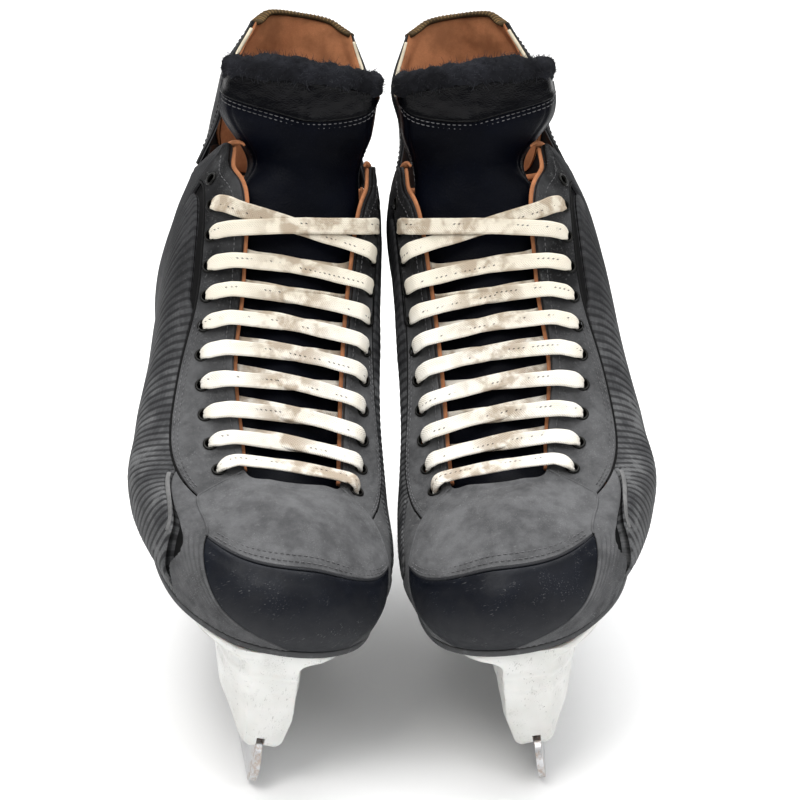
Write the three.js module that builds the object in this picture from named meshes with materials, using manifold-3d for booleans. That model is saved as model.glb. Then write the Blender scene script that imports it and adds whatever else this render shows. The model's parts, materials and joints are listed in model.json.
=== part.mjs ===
// A pair of ice hockey skates, standing side by side and leaning on each other.
// Units are millimetres. +Z is up, the toes point to -Y, and +X is the wearer's left.
// The left skate is modelled upright with its lateral side at +X and its blade in the plane X = 0,
// then leaned, turned and set beside its mirror image. Z = 0 is the ice.
import * as THREE from "three";
import { mergeVertices } from "three/addons/utils/BufferGeometryUtils.js";
import Module from "manifold-3d";

const wasm = await Module();
wasm.setup();

// ---- Driving dimensions ----
const LEAN = THREE.MathUtils.degToRad(9.2); // tops tip towards each other
const TOE_IN = THREE.MathUtils.degToRad(4.7); // toes turn towards each other
const STANCE = 77; // from the middle plane to each blade, at Y = 0
const GAP = 0.35; // between pieces that touch

const SOLE_Z = 80; // top of the outsole at Y = 0
const SOLE_PITCH = 0.02; // rise of the sole towards the heel
const OUTSOLE = 3.5;
const SHELL = 2.4; // thickness of the upper's outer panels
const LINING = 1.2;
const EYELETS = 11; // on each side, the top one unlaced
const EYELET_HOLE = 2.9;
const RUNNER = 3; // blade thickness
const LACE = { half: 4, thick: 1.3, bunched: 1.7 };

// ---- The last: ribs of the boot from the sole's edge to the top line ----
// Each rib is [sole x, y], then [x, y, z] low on the side, at mid height, at the shoulder and on the top line.
const RIBS = [
  [[-10, -146], [-11, -152, 91], [-9, -144, 109], [-5, -114, 127], [-4, -85, 130]], // toe
  [[20, -139], [24, -144, 92], [20, -134, 110], [11, -109, 127], [7, -84, 130]],
  [[43, -108], [49, -110, 96], [46, -104, 115], [34, -92, 122], [18, -80, 130]], // lateral forefoot
  [[52, -64], [62, -63, 99], [64, -60, 117], [49, -63, 131], [21, -62, 140]],
  [[48, -25], [61, -27, 103], [65, -28, 131], [54, -32, 153], [27, -36, 167]], // lateral waist
  [[43, 8], [54, 7, 108], [61, 4, 147], [54, -2, 180], [26, -7, 199]],
  [[39, 40], [48, 41, 111], [57, 38, 158], [53, 33, 208], [31, 30, 252]], // lateral collar corner
  [[37, 76], [44, 77, 112], [55, 74, 160], [52, 70, 202], [46, 66, 229]],
  [[29, 116], [34, 121, 112], [38, 120, 154], [37, 112, 190], [37, 106, 215]],
  [[0, 138], [0, 145, 110], [0, 142, 150], [0, 134, 184], [0, 130, 208]], // heel
  [[-28, 116], [-32, 121, 112], [-36, 120, 154], [-36, 112, 190], [-37, 106, 215]],
  [[-34, 76], [-39, 77, 112], [-46, 74, 160], [-47, 70, 202], [-43, 66, 228]],
  [[-36, 40], [-41, 41, 111], [-45, 38, 158], [-45, 33, 208], [-32, 28, 250]], // medial collar corner
  [[-39, 8], [-44, 7, 108], [-44, 4, 147], [-45, -2, 180], [-28, -9, 197]],
  [[-44, -25], [-49, -27, 103], [-48, -30, 129], [-45, -35, 150], [-27, -38, 164]], // medial waist
  [[-49, -64], [-53, -63, 98], [-52, -62, 114], [-45, -64, 129], [-27, -63, 138]],
  [[-47, -105], [-51, -106, 95], [-48, -103, 111], [-37, -92, 122], [-25, -81, 129]],
  [[-35, -134], [-38, -138, 91], [-34, -129, 108], [-22, -108, 124], [-16, -84, 130]],
];
const HEEL = RIBS.length / 2;

// ---- Curves and surfaces ----
const vec = (x, y, z) => new THREE.Vector3(x, y, z);
const soleZ = (y) => SOLE_Z + SOLE_PITCH * y;
const mix = THREE.MathUtils.lerp;
const smooth = (x, low, high) => THREE.MathUtils.smoothstep(x, low, high);
const curve = (points, closed = false) => new THREE.CatmullRomCurve3(points, closed, "catmullrom", 0.5);

const levels = RIBS[0].map((_, level) =>
  curve(RIBS.map((rib) => vec(rib[level][0], rib[level][1], rib[level][2] ?? soleZ(rib[level][1]))), true),
);

// A point of the upper's outer surface. a counts ribs round the boot from the toe by the lateral side, and v
// runs from the sole's edge at 0 to the top line at 1.
function skin(a, v) {
  const turn = (((a / RIBS.length) % 1) + 1) % 1;
  return curve(levels.map((level) => level.getPoint(turn))).getPoint(THREE.MathUtils.clamp(v, 0, 1));
}

function normalOf(surface, u, v) {
  const step = 0.01;
  const vLow = Math.max(v - step, 0);
  const vHigh = Math.min(v + step, 1);
  const along = surface(u + step, v).sub(surface(u - step, v));
  const up = surface(u, vHigh).sub(surface(u, vLow));
  return along.cross(up).normalize();
}

// The same surface, depth mm inside it. Past its ends a surface has no points, so there it borrows the normals
// just inside them.
function inside(surface, low = -Infinity, high = Infinity) {
  const border = 0.02;
  return (u, v, depth) => {
    const near = THREE.MathUtils.clamp(u, low + border, high - border);
    return surface(u, v).addScaledVector(normalOf(surface, near, v), -depth);
  };
}
const upper = inside(skin);

// A closed thin solid between two depths of a surface. patch(s, t) gives the surface's own coordinates for
// s and t from 0 to 1, and near and far are depths, or functions of the surface's coordinates.
function shell(surface, patch, near, far, ns, nt) {
  const depth = (value, u, v) => (typeof value === "function" ? value(u, v) : value);
  const position = [];
  for (const face of [near, far])
    for (let i = 0; i <= ns; i++)
      for (let j = 0; j <= nt; j++) {
        const [u, v] = patch(i / ns, j / nt);
        position.push(...surface(u, v, depth(face, u, v)).toArray());
      }
  const at = (side, i, j) => side * (ns + 1) * (nt + 1) + i * (nt + 1) + j;
  const index = [];
  const quad = (a, b, c, d) => index.push(a, b, c, a, c, d);
  for (let i = 0; i < ns; i++)
    for (let j = 0; j < nt; j++) {
      quad(at(0, i, j), at(0, i + 1, j), at(0, i + 1, j + 1), at(0, i, j + 1));
      quad(at(1, i, j), at(1, i, j + 1), at(1, i + 1, j + 1), at(1, i + 1, j));
    }
  for (let i = 0; i < ns; i++) {
    quad(at(0, i, 0), at(1, i, 0), at(1, i + 1, 0), at(0, i + 1, 0));
    quad(at(0, i + 1, nt), at(1, i + 1, nt), at(1, i, nt), at(0, i, nt));
  }
  for (let j = 0; j < nt; j++) {
    quad(at(0, 0, j + 1), at(1, 0, j + 1), at(1, 0, j), at(0, 0, j));
    quad(at(0, ns, j), at(1, ns, j), at(1, ns, j + 1), at(0, ns, j + 1));
  }
  return geometryOf(position, index);
}

// The closed mesh of these triangles, turned inside out where they face inwards.
function geometryOf(position, index) {
  const corner = (i) => vec(...position.slice(3 * index[i], 3 * index[i] + 3));
  let volume = 0;
  for (let i = 0; i < index.length; i += 3) volume += corner(i).dot(corner(i + 1).cross(corner(i + 2)));
  const geometry = new THREE.BufferGeometry();
  geometry.setAttribute("position", new THREE.Float32BufferAttribute(position, 3));
  geometry.setIndex(volume < 0 ? [...index].reverse() : index);
  return geometry;
}

// A closed solid through rings of points that all have the same count, with a fan over each end.
function loft(rings) {
  const count = rings[0].length;
  const middle = (ring) => ring.reduce((sum, p) => sum.add(p), vec(0, 0, 0)).divideScalar(count);
  const points = [...rings.flat(), middle(rings[0]), middle(rings.at(-1))];
  const index = [];
  for (let r = 0; r + 1 < rings.length; r++)
    for (let k = 0; k < count; k++) {
      const a = r * count + k;
      const b = r * count + ((k + 1) % count);
      index.push(a, b, b + count, a, b + count, a + count);
    }
  const first = rings.length * count;
  const last = (rings.length - 1) * count;
  for (let k = 0; k < count; k++) {
    index.push(first, (k + 1) % count, k);
    index.push(first + 1, last + k, last + ((k + 1) % count));
  }
  return geometryOf(points.flatMap((p) => p.toArray()), index);
}

// ---- Booleans ----
function solid(geometry) {
  const bare = new THREE.BufferGeometry();
  bare.setAttribute("position", geometry.getAttribute("position").clone());
  if (geometry.index) bare.setIndex(geometry.index.clone());
  const merged = mergeVertices(bare, 1e-3);
  const mesh = {
    numProp: 3,
    vertProperties: merged.attributes.position.array,
    triVerts: new Uint32Array(merged.index.array),
  };
  return new wasm.Manifold(new wasm.Mesh(mesh));
}

function geometry(body) {
  const mesh = body.getMesh();
  return geometryOf(Array.from(mesh.vertProperties), Array.from(mesh.triVerts));
}

const cut = (body, ...tools) => geometry(tools.reduce((left, tool) => left.subtract(solid(tool)), solid(body)));
const join = (...bodies) => geometry(bodies.map(solid).reduce((sum, body) => sum.add(body)));

// A cylinder whose middle is at a point, along a direction.
function rod(middle, along, radius, length, sides = 8) {
  const geometry = new THREE.CylinderGeometry(radius, radius, length, sides);
  geometry.applyQuaternion(new THREE.Quaternion().setFromUnitVectors(vec(0, 1, 0), along.clone().normalize()));
  return geometry.translate(middle.x, middle.y, middle.z);
}

// ---- Finishes ----
const finish = (color, roughness, metalness = 0) =>
  new THREE.MeshStandardMaterial({ color, roughness, metalness });
const FINISH = {
  leather: finish(0x2b2c2f, 0.65),
  ribbed: finish(0x3a3b3e, 0.75),
  nubuck: finish(0x4c4d50, 0.9),
  cap: finish(0x1b1c20, 0.45),
  composite: finish(0x18181a, 0.5),
  tan: finish(0xa8693f, 0.8),
  felt: finish(0x34363a, 1),
  foam: finish(0x55524c, 0.95),
  board: finish(0x8a7a62, 0.9),
  plastic: finish(0xeeeeea, 0.4),
  steel: finish(0xc4c6c9, 0.25, 1),
  zinc: finish(0x9a9c9f, 0.4, 1),
  lace: finish(0xece4d6, 0.85),
};

// ---- Panels of the upper ----
// Where the panels meet, as ribs round the boot and heights up the ribs.
const CAP = {
  top: 0.555,
  lateral: { foot: 0.2, corner: 1.62, fall: 0.04 },
  medial: { foot: 0.75, corner: 1.75, fall: 0.115 },
};
const VAMP_EDGE = { lateral: 2.15, medial: 2, from: 0.72 };
const QUARTER_FRONT = { low: 2.05, high: 2.75, from: 0.42, to: 0.76 };
const FACING_FOOT = { front: 0.7, back: 0.855, from: 2.3, to: 5.3 };
const FACING_TOP = 6.3;
const RECESS = { height: 0.025, from: 4.7, to: 5 }; // between the facing's back half and the quarter
const LINING_FRONT = 2;
const LINING_TOP = 0.68; // behind the facings
const PATCH_GAP = 0.012;
const SLOT_WIDTH = 0.1; // in front of the quarter, in ribs

const medial = (a) => RIBS.length - a; // the rib on the other side of the boot

const sideOf = (way) => (way > 0 ? "lateral" : "medial");

// The toe cap's top edge falls to each side.
function capTop(a) {
  const { fall, corner } = CAP[sideOf(a)];
  return CAP.top - fall * smooth(Math.abs(a), 0, corner);
}

// The side edge of the toe cap, which starts nearly at the toe's centre on the sole, and of the vamp above it.
function frontEdge(v, way) {
  const { foot, corner } = CAP[sideOf(way)];
  const top = capTop(way * corner);
  if (v > top) return mix(corner, VAMP_EDGE[sideOf(way)], smooth(v, top, VAMP_EDGE.from));
  return mix(foot, corner, 1 - (1 - v / top) ** 1.8);
}

const quarterFront = (v) =>
  mix(QUARTER_FRONT.low, QUARTER_FRONT.high, smooth(v, QUARTER_FRONT.from, QUARTER_FRONT.to));
const facingFoot = (a) =>
  mix(FACING_FOOT.front, FACING_FOOT.back, smooth(Math.abs(a), FACING_FOOT.from, FACING_FOOT.to));
const quarterTop = (a) =>
  facingFoot(a) - PATCH_GAP - RECESS.height * smooth(Math.abs(a), RECESS.from, RECESS.to);

const panelPatch = (a0, a1, v0, v1) => (s, t) => {
  const call = (value, x) => (typeof value === "function" ? value(x) : value);
  const flat = mix(call(a0, t), call(a1, t), s);
  return [flat, mix(call(v0, flat), call(v1, flat), t)];
};

const FACING_PROUD = 0.5;
// The lateral quarter's front end stands proud of the panel in front of it.
const FLARE = { depth: 3, full: 2.9, end: 3.8 };
const flare = (a, v) => {
  const forward = 1 - smooth(a, FLARE.full, FLARE.end);
  return -FLARE.depth * forward * smooth(v, 0.02, 0.25) * (1 - smooth(v, 0.45, 0.75));
};

function toePieces() {
  const cap = (s, t) => {
    const edge = (way) => way * (frontEdge(t * capTop(way * CAP[sideOf(way)].corner), way) - PATCH_GAP);
    const a = mix(edge(-1), edge(1), s);
    return [a, capTop(a) * t];
  };
  const vamp = (s, t) => {
    const edge = (way) => {
      const v = mix(capTop(way * CAP[sideOf(way)].corner) + PATCH_GAP, 1, t);
      return way * (frontEdge(v, way) - PATCH_GAP);
    };
    const a = mix(edge(-1), edge(1), s);
    return [a, mix(capTop(a) + PATCH_GAP, 1, t)];
  };
  return {
    toe_cap: [shell(upper, cap, 0, SHELL, 10, 4), FINISH.cap],
    vamp: [shell(upper, vamp, -0.6, SHELL, 10, 5), FINISH.nubuck],
  };
}

function sidePieces(side) {
  const way = side === "lateral" ? 1 : -1;
  const around = (a) => way * a;
  const patchOf = (a0, a1, v0, v1) => {
    const patch = panelPatch(a0, a1, v0, v1);
    return (s, t) => {
      const [a, v] = patch(way > 0 ? s : 1 - s, t);
      return [around(a), v];
    };
  };
  const own = (depth) => (a, v) => depth(Math.abs(a), v);
  const frontPanel = (s, t) => {
    const v = FACING_FOOT.front * t;
    const a = mix(frontEdge(v, way) + 4 * PATCH_GAP, quarterFront(v) - SLOT_WIDTH, way > 0 ? s : 1 - s);
    return [around(a), (facingFoot(a) - PATCH_GAP) * t];
  };
  const front = VAMP_EDGE[side];
  const quarter = patchOf(quarterFront, HEEL - PATCH_GAP, 0, 1);
  const facing = patchOf(front + PATCH_GAP, FACING_TOP, facingFoot, 1);
  const room = patchOf(front, FACING_TOP + PATCH_GAP, quarterTop, 1.02);
  const holes = eyelets(side).map(({ at, out }) => rod(at, out, EYELET_HOLE, 14, 6));
  const pad = patchOf(6.35, 8.6, 0.3, 0.9);
  const wholeQuarter = shell(upper, quarter, way > 0 ? flare : 0, SHELL, 16, 7);
  const wholeFacing = shell(upper, facing, -FACING_PROUD, SHELL, 12, 2);
  const padBack = own((a, v) => PAD_FACE + padding(a, v));
  return {
    [`side_panel_${side}`]: [shell(upper, frontPanel, 0, SHELL, 3, 7), FINISH.leather],
    [`quarter_${side}`]: [cut(wholeQuarter, shell(beyond, room, -4, 6, 12, 2)), FINISH.ribbed],
    [`facing_${side}`]: [cut(wholeFacing, ...holes), FINISH.leather],
    [`ankle_pad_${side}`]: [shell(upper, pad, PAD_FACE, padBack, 8, 6), FINISH.foam],
  };
}

// Thickness of the ankle padding, which is thickest round the ankle bones.
const PAD = 5;
const PAD_FACE = SHELL + 1.8; // depth of its outer face
const padding = (a, v) => {
  const far = Math.min(Math.abs(a), medial(Math.abs(a)));
  const round = smooth(far, 6.1, 7) * (1 - smooth(far, 8, 8.9));
  return 0.8 + PAD * round * smooth(v, 0.2, 0.5) * (1 - smooth(v, 0.75, 0.98));
};

// The upper's surface, carried straight on past its top line.
const beyond = (a, v, depth) => upper(a, Math.min(v, 1), depth).add(vec(0, 0, 200 * Math.max(v - 1, 0)));

function liningPiece() {
  const reach = medial(LINING_FRONT);
  // It stops short of the facings, and reaches the top line behind them.
  const behind = (a) => smooth(Math.min(a, medial(a)), FACING_TOP - 0.2, FACING_TOP + 0.5);
  const top = (a) => mix(LINING_TOP, 0.985, behind(a));
  const patch = (s, t) => {
    const a = mix(LINING_FRONT, reach, s);
    return [a, mix(0.06, top(a), t)];
  };
  const near = (a, v) => PAD_FACE + 5 * GAP + padding(a, v);
  const far = (a, v) => near(a, v) + LINING;
  return { lining: [shell(upper, patch, near, far, 20, 5), FINISH.tan] };
}

function backstayPiece() {
  const patch = panelPatch(HEEL - 0.5, HEEL + 0.5, 0.02, 0.97);
  return { backstay: [shell(upper, patch, -2, -0.6, 6, 8), FINISH.leather] };
}

// ---- Eyelets ----
const EYELET_V = 0.885;

// The eyelets of one side from the top one down, evenly spaced along the facing.
function eyelets(side) {
  const [way, from, to] = side === "lateral" ? [1, 6, 2.45] : [-1, 6, 2.32];
  const steps = 60;
  const spots = Array.from({ length: steps + 1 }, (_, i) => way * mix(from, to, i / steps));
  const run = [0];
  for (let i = 1; i <= steps; i++)
    run.push(run[i - 1] + skin(spots[i], EYELET_V).distanceTo(skin(spots[i - 1], EYELET_V)));
  return Array.from({ length: EYELETS }, (_, k) => {
    const want = (run.at(-1) * k) / (EYELETS - 1);
    const i = Math.min(run.findIndex((r) => r >= want - 1e-9), steps);
    const j = Math.max(i - 1, 0);
    const share = i === j ? 0 : (want - run[j]) / (run[i] - run[j]);
    const a = mix(spots[j], spots[i], share);
    return { a, at: skin(a, EYELET_V), out: normalOf(skin, a, EYELET_V) };
  });
}

// ---- Sole ----
// The outline of the boot at its sole, that far inside the upper's edge.
function soleRing(depth, height, count = 28) {
  return Array.from({ length: count }, (_, k) => {
    const p = upper((RIBS.length * k) / count, 0, depth);
    return vec(p.x, p.y, soleZ(p.y) + height);
  });
}

const BOLT_Y = { front: -92, rear: 92 };
const NUT_POCKET = 8;

function solePieces() {
  const pockets = Object.values(BOLT_Y).map((y) => rod(vec(0, y, soleZ(y)), vec(0, 0, 1), NUT_POCKET, 30, 12));
  const outsole = loft([soleRing(0.5, -OUTSOLE), soleRing(-1.8, -OUTSOLE + 1.5), soleRing(-1.8, -GAP)]);
  const board = loft([soleRing(SHELL + 1.4, 0), soleRing(SHELL + 1.4, 2)]);
  const edge = PAD_FACE + 5 * GAP + LINING + 1.5;
  const footbed = loft([soleRing(edge, 2 + GAP), soleRing(edge, 5), soleRing(edge + 4, 4.2)]);
  return {
    outsole: [cut(outsole, ...pockets), FINISH.composite],
    insole_board: [cut(board, ...pockets), FINISH.board],
    footbed: [footbed, FINISH.felt],
  };
}

// ---- Tendon guard ----
// Ribs from the lateral front edge round the back to the medial one: low, at half height and on the top edge.
const GUARD_FRONT = 7.4;
const GUARD_RIBS = [
  [[37, 97, 246], [36, 102, 270], [25, 120, 291]],
  [[35, 116, 246], [31, 119, 271], [17, 130, 295]],
  [[0, 138, 245], [0, 139, 270], [0, 135, 296]],
  [[-34, 116, 246], [-31, 119, 271], [-17, 130, 295]],
  [[-36, 97, 246], [-38, 102, 270], [-28, 120, 291]],
];
const guardBase = (u) => {
  const a = mix(GUARD_FRONT, medial(GUARD_FRONT), u / 4);
  return skin(a, 1).add(vec(0, 0, 2));
};
const guardLevels = GUARD_RIBS[0].map((_, level) => curve(GUARD_RIBS.map((rib) => vec(...rib[level]))));
// A point of the guard's outside. u counts its ribs, and v runs up it.
function guardSkin(u, v) {
  const at = THREE.MathUtils.clamp(u, 0, 4);
  return curve([guardBase(at), ...guardLevels.map((level) => level.getPoint(at / 4))]).getPoint(v);
}
const GUARD_SHELL = 2.2;
const GUARD_LINING = 3.2;

const guard = inside(guardSkin, 0, 4);

function guardPieces() {
  const whole = (s, t) => [4 * s, t];
  const far = GUARD_SHELL + GAP;
  return {
    tendon_guard: [shell(guard, whole, 0, GUARD_SHELL, 10, 5), FINISH.leather],
    tendon_guard_lining: [shell(guard, whole, far, far + GUARD_LINING, 10, 5), FINISH.tan],
  };
}

// ---- Tongue ----
// Behind the facings the tongue follows them at a depth that leaves room for the lace. Above the collar it
// stands free. Each rib of it runs from the medial edge to the lateral one.
const TONGUE_DEPTH = 8.2;
const TONGUE_ARCH = 3.5; // how far its middle stands in front of a straight line between the facings
const TONGUE_FREE = [
  [[-29, 45, 238], [-25, 33, 245], [1, 22, 249], [20, 34, 244], [24, 47, 236]],
  [[-32, 42, 262], [-26, 29, 266], [5, 22, 268], [36, 29, 267], [42, 42, 263]],
  [[-31, 42, 289], [-25, 30, 292], [6, 23, 295], [36, 30, 291], [43, 42, 288]],
];
const TONGUE_SHELL = 2;
const TONGUE_FELT = 6;
const tongueRibs = [
  ...[2.1, 2.7, 3.4, 4.2, 5, 5.6].map((a) => {
    const edge = (way, v) => upper(way * a, v, TONGUE_DEPTH);
    const front = normalOf(skin, a, 1).add(normalOf(skin, -a, 1)).normalize();
    const middle = edge(1, 1).lerp(edge(-1, 1), 0.5).addScaledVector(front, TONGUE_ARCH);
    return [edge(-1, 0.83), edge(-1, 0.97), middle, edge(1, 0.97), edge(1, 0.83)];
  }),
  ...TONGUE_FREE.map((rib) => rib.map((p) => vec(...p))),
];
const tongueLines = tongueRibs[0].map((_, column) => curve(tongueRibs.map((rib) => rib[column])));
const TONGUE_FOLD = 0.83; // where the top part bends over

// A point of the tongue's front. u runs across it from the medial edge at -1, and v up it.
function tongueSkin(u, v) {
  const across = (THREE.MathUtils.clamp(u, -1, 1) + 1) / 2;
  return curve(tongueLines.map((line) => line.getPoint(THREE.MathUtils.clamp(v, 0, 1)))).getPoint(across);
}
const tongue = inside(tongueSkin, -1, 1);

function tonguePieces() {
  const part = (v0, v1) => (s, t) => [mix(-1, 1, s), mix(v0, v1, t)];
  const shellOf = (v0, v1, rows) => shell(tongue, part(v0, v1), 0, TONGUE_SHELL, 8, rows);
  const taper = (u, v) => mix(2.5, TONGUE_FELT, smooth(v, 0, 0.3)) * (1 - 0.5 * Math.abs(u) ** 3);
  const feltOf = (v0, v1, rows) => {
    const start = TONGUE_SHELL + 4 * GAP;
    return shell(tongue, part(v0, v1), start, (u, v) => start + taper(u, v), 8, rows);
  };
  const slit = 0.002;
  return {
    tongue_lower: [shellOf(0, TONGUE_FOLD - slit, 7), FINISH.leather],
    tongue_lower_felt: [feltOf(0.03, TONGUE_FOLD - 2 * slit, 7), FINISH.felt],
    tongue_upper: [shellOf(TONGUE_FOLD + slit, 0.96, 4), FINISH.leather],
    tongue_upper_felt: [feltOf(TONGUE_FOLD + 2 * slit, 1, 4), FINISH.felt],
  };
}

// ---- Holder and runner ----
// Outline of the runner in its own plane as y, z: the ground edge with its flat middle, then back along the
// top.
const EDGE_FLAT = 22; // half the length of the flat middle of the ground edge
const EDGE_RADIUS = 3000;
const EDGE_ENDS = [-129, 131];
const STEEL_TOP = 24;
const LUG = { half: 9, top: 33, hole: 2.4, holeZ: 28.5 };
const BOLT = { radius: 2.4, fork: 4.4, forkTop: 36.5, pin: 1.9 };
const NUT = { radius: 5, height: 5 };

const groundZ = (y) => Math.max(Math.abs(y) - EDGE_FLAT, 0) ** 2 / (2 * EDGE_RADIUS);

function plate(points, thick) {
  const shape = new THREE.Shape(points.map(([y, z]) => new THREE.Vector2(y, z)));
  const geometry = new THREE.ExtrudeGeometry(shape, { depth: thick, bevelEnabled: false, curveSegments: 12 });
  // The shape's x becomes Y and its y becomes Z.
  const turn = new THREE.Matrix4().makeBasis(vec(0, 1, 0), vec(0, 0, 1), vec(1, 0, 0));
  return geometry.applyMatrix4(turn).translate(-thick / 2, 0, 0);
}

function runnerPiece() {
  const [front, rear] = EDGE_ENDS;
  const steps = 24;
  const edge = Array.from({ length: steps + 1 }, (_, i) => {
    const y = mix(front, rear, i / steps);
    return [y, groundZ(y)];
  });
  const arc = (cy, cz, r, from, to, count) =>
    Array.from({ length: count }, (_, i) => {
      const angle = mix(from, to, i / (count - 1));
      return [cy + r * Math.cos(angle), cz + r * Math.sin(angle)];
    });
  const lug = (y) => [
    [y + LUG.half, STEEL_TOP],
    [y + LUG.half - 3, LUG.top],
    [y - LUG.half + 3, LUG.top],
    [y - LUG.half, STEEL_TOP],
  ];
  const heel = arc(rear - 2, 14, 13, -1.15, 0.9, 6);
  const toe = arc(front + 3, 14, 12, Math.PI - 0.9, Math.PI + 1.15, 6);
  const top = [[122, STEEL_TOP], ...lug(BOLT_Y.rear), ...lug(BOLT_Y.front), [-124, STEEL_TOP]];
  const outline = [...edge, ...heel, ...top, ...toe];
  const holes = Object.values(BOLT_Y).map((y) => rod(vec(0, y, LUG.holeZ), vec(1, 0, 0), LUG.hole, 20, 10));
  return { runner: [cut(plate(outline, RUNNER), ...holes), FINISH.steel] };
}

// Cross-sections of the holder from front to back. Each gives y, the flange's half widths on the medial and
// lateral sides, the half widths just under it, the half width and height of its foot, and how far its top
// leans forwards.
const HOLDER_FRONT = [
  [-135, 14, 13, 8.5, 8, 5, 24, 8],
  [-132, 22, 20, 11, 13, 6.5, 21.5, 8],
  [-124, 29, 27, 13, 19, 7.5, 20, 7],
  [-112, 33, 34, 16, 22, 7.5, 19.5, 5],
  [-95, 34, 38, 18, 24, 7, 19.5, 2],
  [-70, 30, 38, 17, 22, 6, 19.5, 0],
  [-52, 25, 31, 12, 14, 5.5, 20, 0],
  [-42, 18, 22, 7, 8, 5, 28, 0],
];
const HOLDER_REAR = [
  [46, 12, 14, 7, 7, 5, 28, 0],
  [58, 17, 19, 11, 12, 5.5, 20, 0],
  [80, 21, 23, 16, 17, 6, 19.5, 0],
  [105, 22, 23, 17, 18, 6, 20, 0],
  [120, 17, 18, 13, 14, 6, 22, -2],
  [128, 10, 10, 8, 8, 5, 27, -3],
];
// The rail that joins the towers over the steel, lowest in the middle of the arch.
const RAIL = { stations: [-52, -36, 0, 38, 56], half: 5.2, low: 20, middle: 36, rise: 10 };
const WAIST = { height: 0.3, share: 0.62 }; // where the towers' sides are nearly as wide as under the flange
const FLANGE = 3.2;
const SLOT = RUNNER + 2 * GAP;

function tower(stations) {
  return loft(
    stations.map(([y, medialTop, lateralTop, medialNeck, lateralNeck, foot, low, lean]) => {
      const top = soleZ(y - lean) - OUTSOLE - GAP;
      const at = (x, z) => vec(x, y - (lean * (z - low)) / (top - low), z);
      const side = (edge, neck, way) => [
        at(way * foot, low),
        at(way * mix(foot, neck, WAIST.share), mix(low, top, WAIST.height)),
        at(way * neck, top - FLANGE - 6),
        at(way * edge, top - FLANGE),
        at(way * edge, top),
      ];
      return [...side(lateralTop, lateralNeck, 1).reverse(), ...side(medialTop, medialNeck, -1)].reverse();
    }),
  );
}

// A cylinder along the blade's middle plane, from one height to another.
const upright = (y, radius, low, high, sides = 10) =>
  rod(vec(0, y, (low + high) / 2), vec(0, 0, 1), radius, high - low, sides);

// Room for a lug of the runner, which reaches that far to the front and back.
function lugSlot(y, reach) {
  const high = LUG.top + GAP;
  return plate([[y - reach, 15], [y + reach, 15], [y + reach, high], [y - reach, high]], SLOT);
}

function holderPieces() {
  const rail = loft(
    RAIL.stations.map((y) => {
      const high = RAIL.middle + RAIL.rise * (y / RAIL.stations.at(-1)) ** 2;
      const side = (way) => [
        vec(way * RAIL.half, y, RAIL.low),
        vec(way * RAIL.half, y, high - 2),
        vec(way * (RAIL.half - 1.7), y, high),
      ];
      return [...side(1), ...side(-1).reverse()];
    }),
  );
  const front = HOLDER_FRONT[0][0] - 9;
  const rear = HOLDER_REAR.at(-1)[0] + 4;
  const slot = plate([[front, 10], [rear, 10], [rear, STEEL_TOP + GAP], [front, STEEL_TOP + GAP]], SLOT);
  const forkHole = (y) => upright(y, BOLT.fork + GAP, 10, BOLT.forkTop + GAP);
  const shank = (y) => upright(y, BOLT.radius + GAP, 30, 90);
  const tools = Object.values(BOLT_Y).flatMap((y) => [forkHole(y), shank(y), lugSlot(y, LUG.half + GAP)]);
  const body = join(tower(HOLDER_FRONT), rail, tower(HOLDER_REAR));
  const pieces = { holder: [cut(body, slot, ...tools), FINISH.plastic] };
  for (const [end, y] of Object.entries(BOLT_Y)) {
    const floor = soleZ(y) - OUTSOLE - GAP;
    const fork = upright(y, BOLT.fork, LUG.holeZ - 3.4, BOLT.forkTop);
    const stem = upright(y, BOLT.radius, BOLT.forkTop - 1, floor + NUT.height + 1);
    const pin = rod(vec(0, y, LUG.holeZ), vec(1, 0, 0), BOLT.pin, 7, 10);
    pieces[`runner_bolt_${end}`] = [join(cut(fork, lugSlot(y, 10)), stem, pin), FINISH.zinc];
    const nut = upright(y, NUT.radius, floor + GAP, floor + GAP + NUT.height, 6);
    const bore = upright(y, BOLT.radius + GAP, floor - 15, floor + 15);
    pieces[`runner_nut_${end}`] = [cut(nut, bore), FINISH.zinc];
  }
  return pieces;
}

// ---- Lace ----
const CLEAR = GAP + LACE.thick / 2 + 1.1; // between the middle of a strand and what it lies on
const OVER = -FACING_PROUD - CLEAR; // depth of a strand that lies over a facing
const UNDER = SHELL + CLEAR + 0.7; // and of one that runs behind it

// A flat ribbon through points, each with the direction that its face looks in.
function ribbon(stops, steps) {
  const path = curve(stops.map((stop) => stop.at));
  const faces = curve(stops.map((stop) => stop.face));
  const rings = [];
  for (let i = 0; i <= steps; i++) {
    const t = i / steps;
    const middle = path.getPoint(t);
    const along = path.getTangent(t);
    const face = faces.getPoint(t).normalize();
    const half = mix(LACE.half * 0.55, LACE.half, Math.sin(Math.PI * t) ** 0.6);
    const side = along.clone().cross(face).normalize().multiplyScalar(half);
    const up = side.clone().cross(along).normalize().multiplyScalar(LACE.thick / 2);
    rings.push([
      middle.clone().add(side).add(up),
      middle.clone().sub(side).add(up),
      middle.clone().sub(side).sub(up),
      middle.clone().add(side).sub(up),
    ]);
  }
  return loft(rings);
}

// The height up the tongue that is nearest to a point.
function nearestOnTongue(point) {
  let best = { v: 0, distance: Infinity };
  for (let i = 0; i <= 100; i++) {
    const distance = tongue(0, i / 100, 0).distanceTo(point);
    if (distance < best.distance) best = { v: i / 100, distance };
  }
  return best.v;
}

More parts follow.
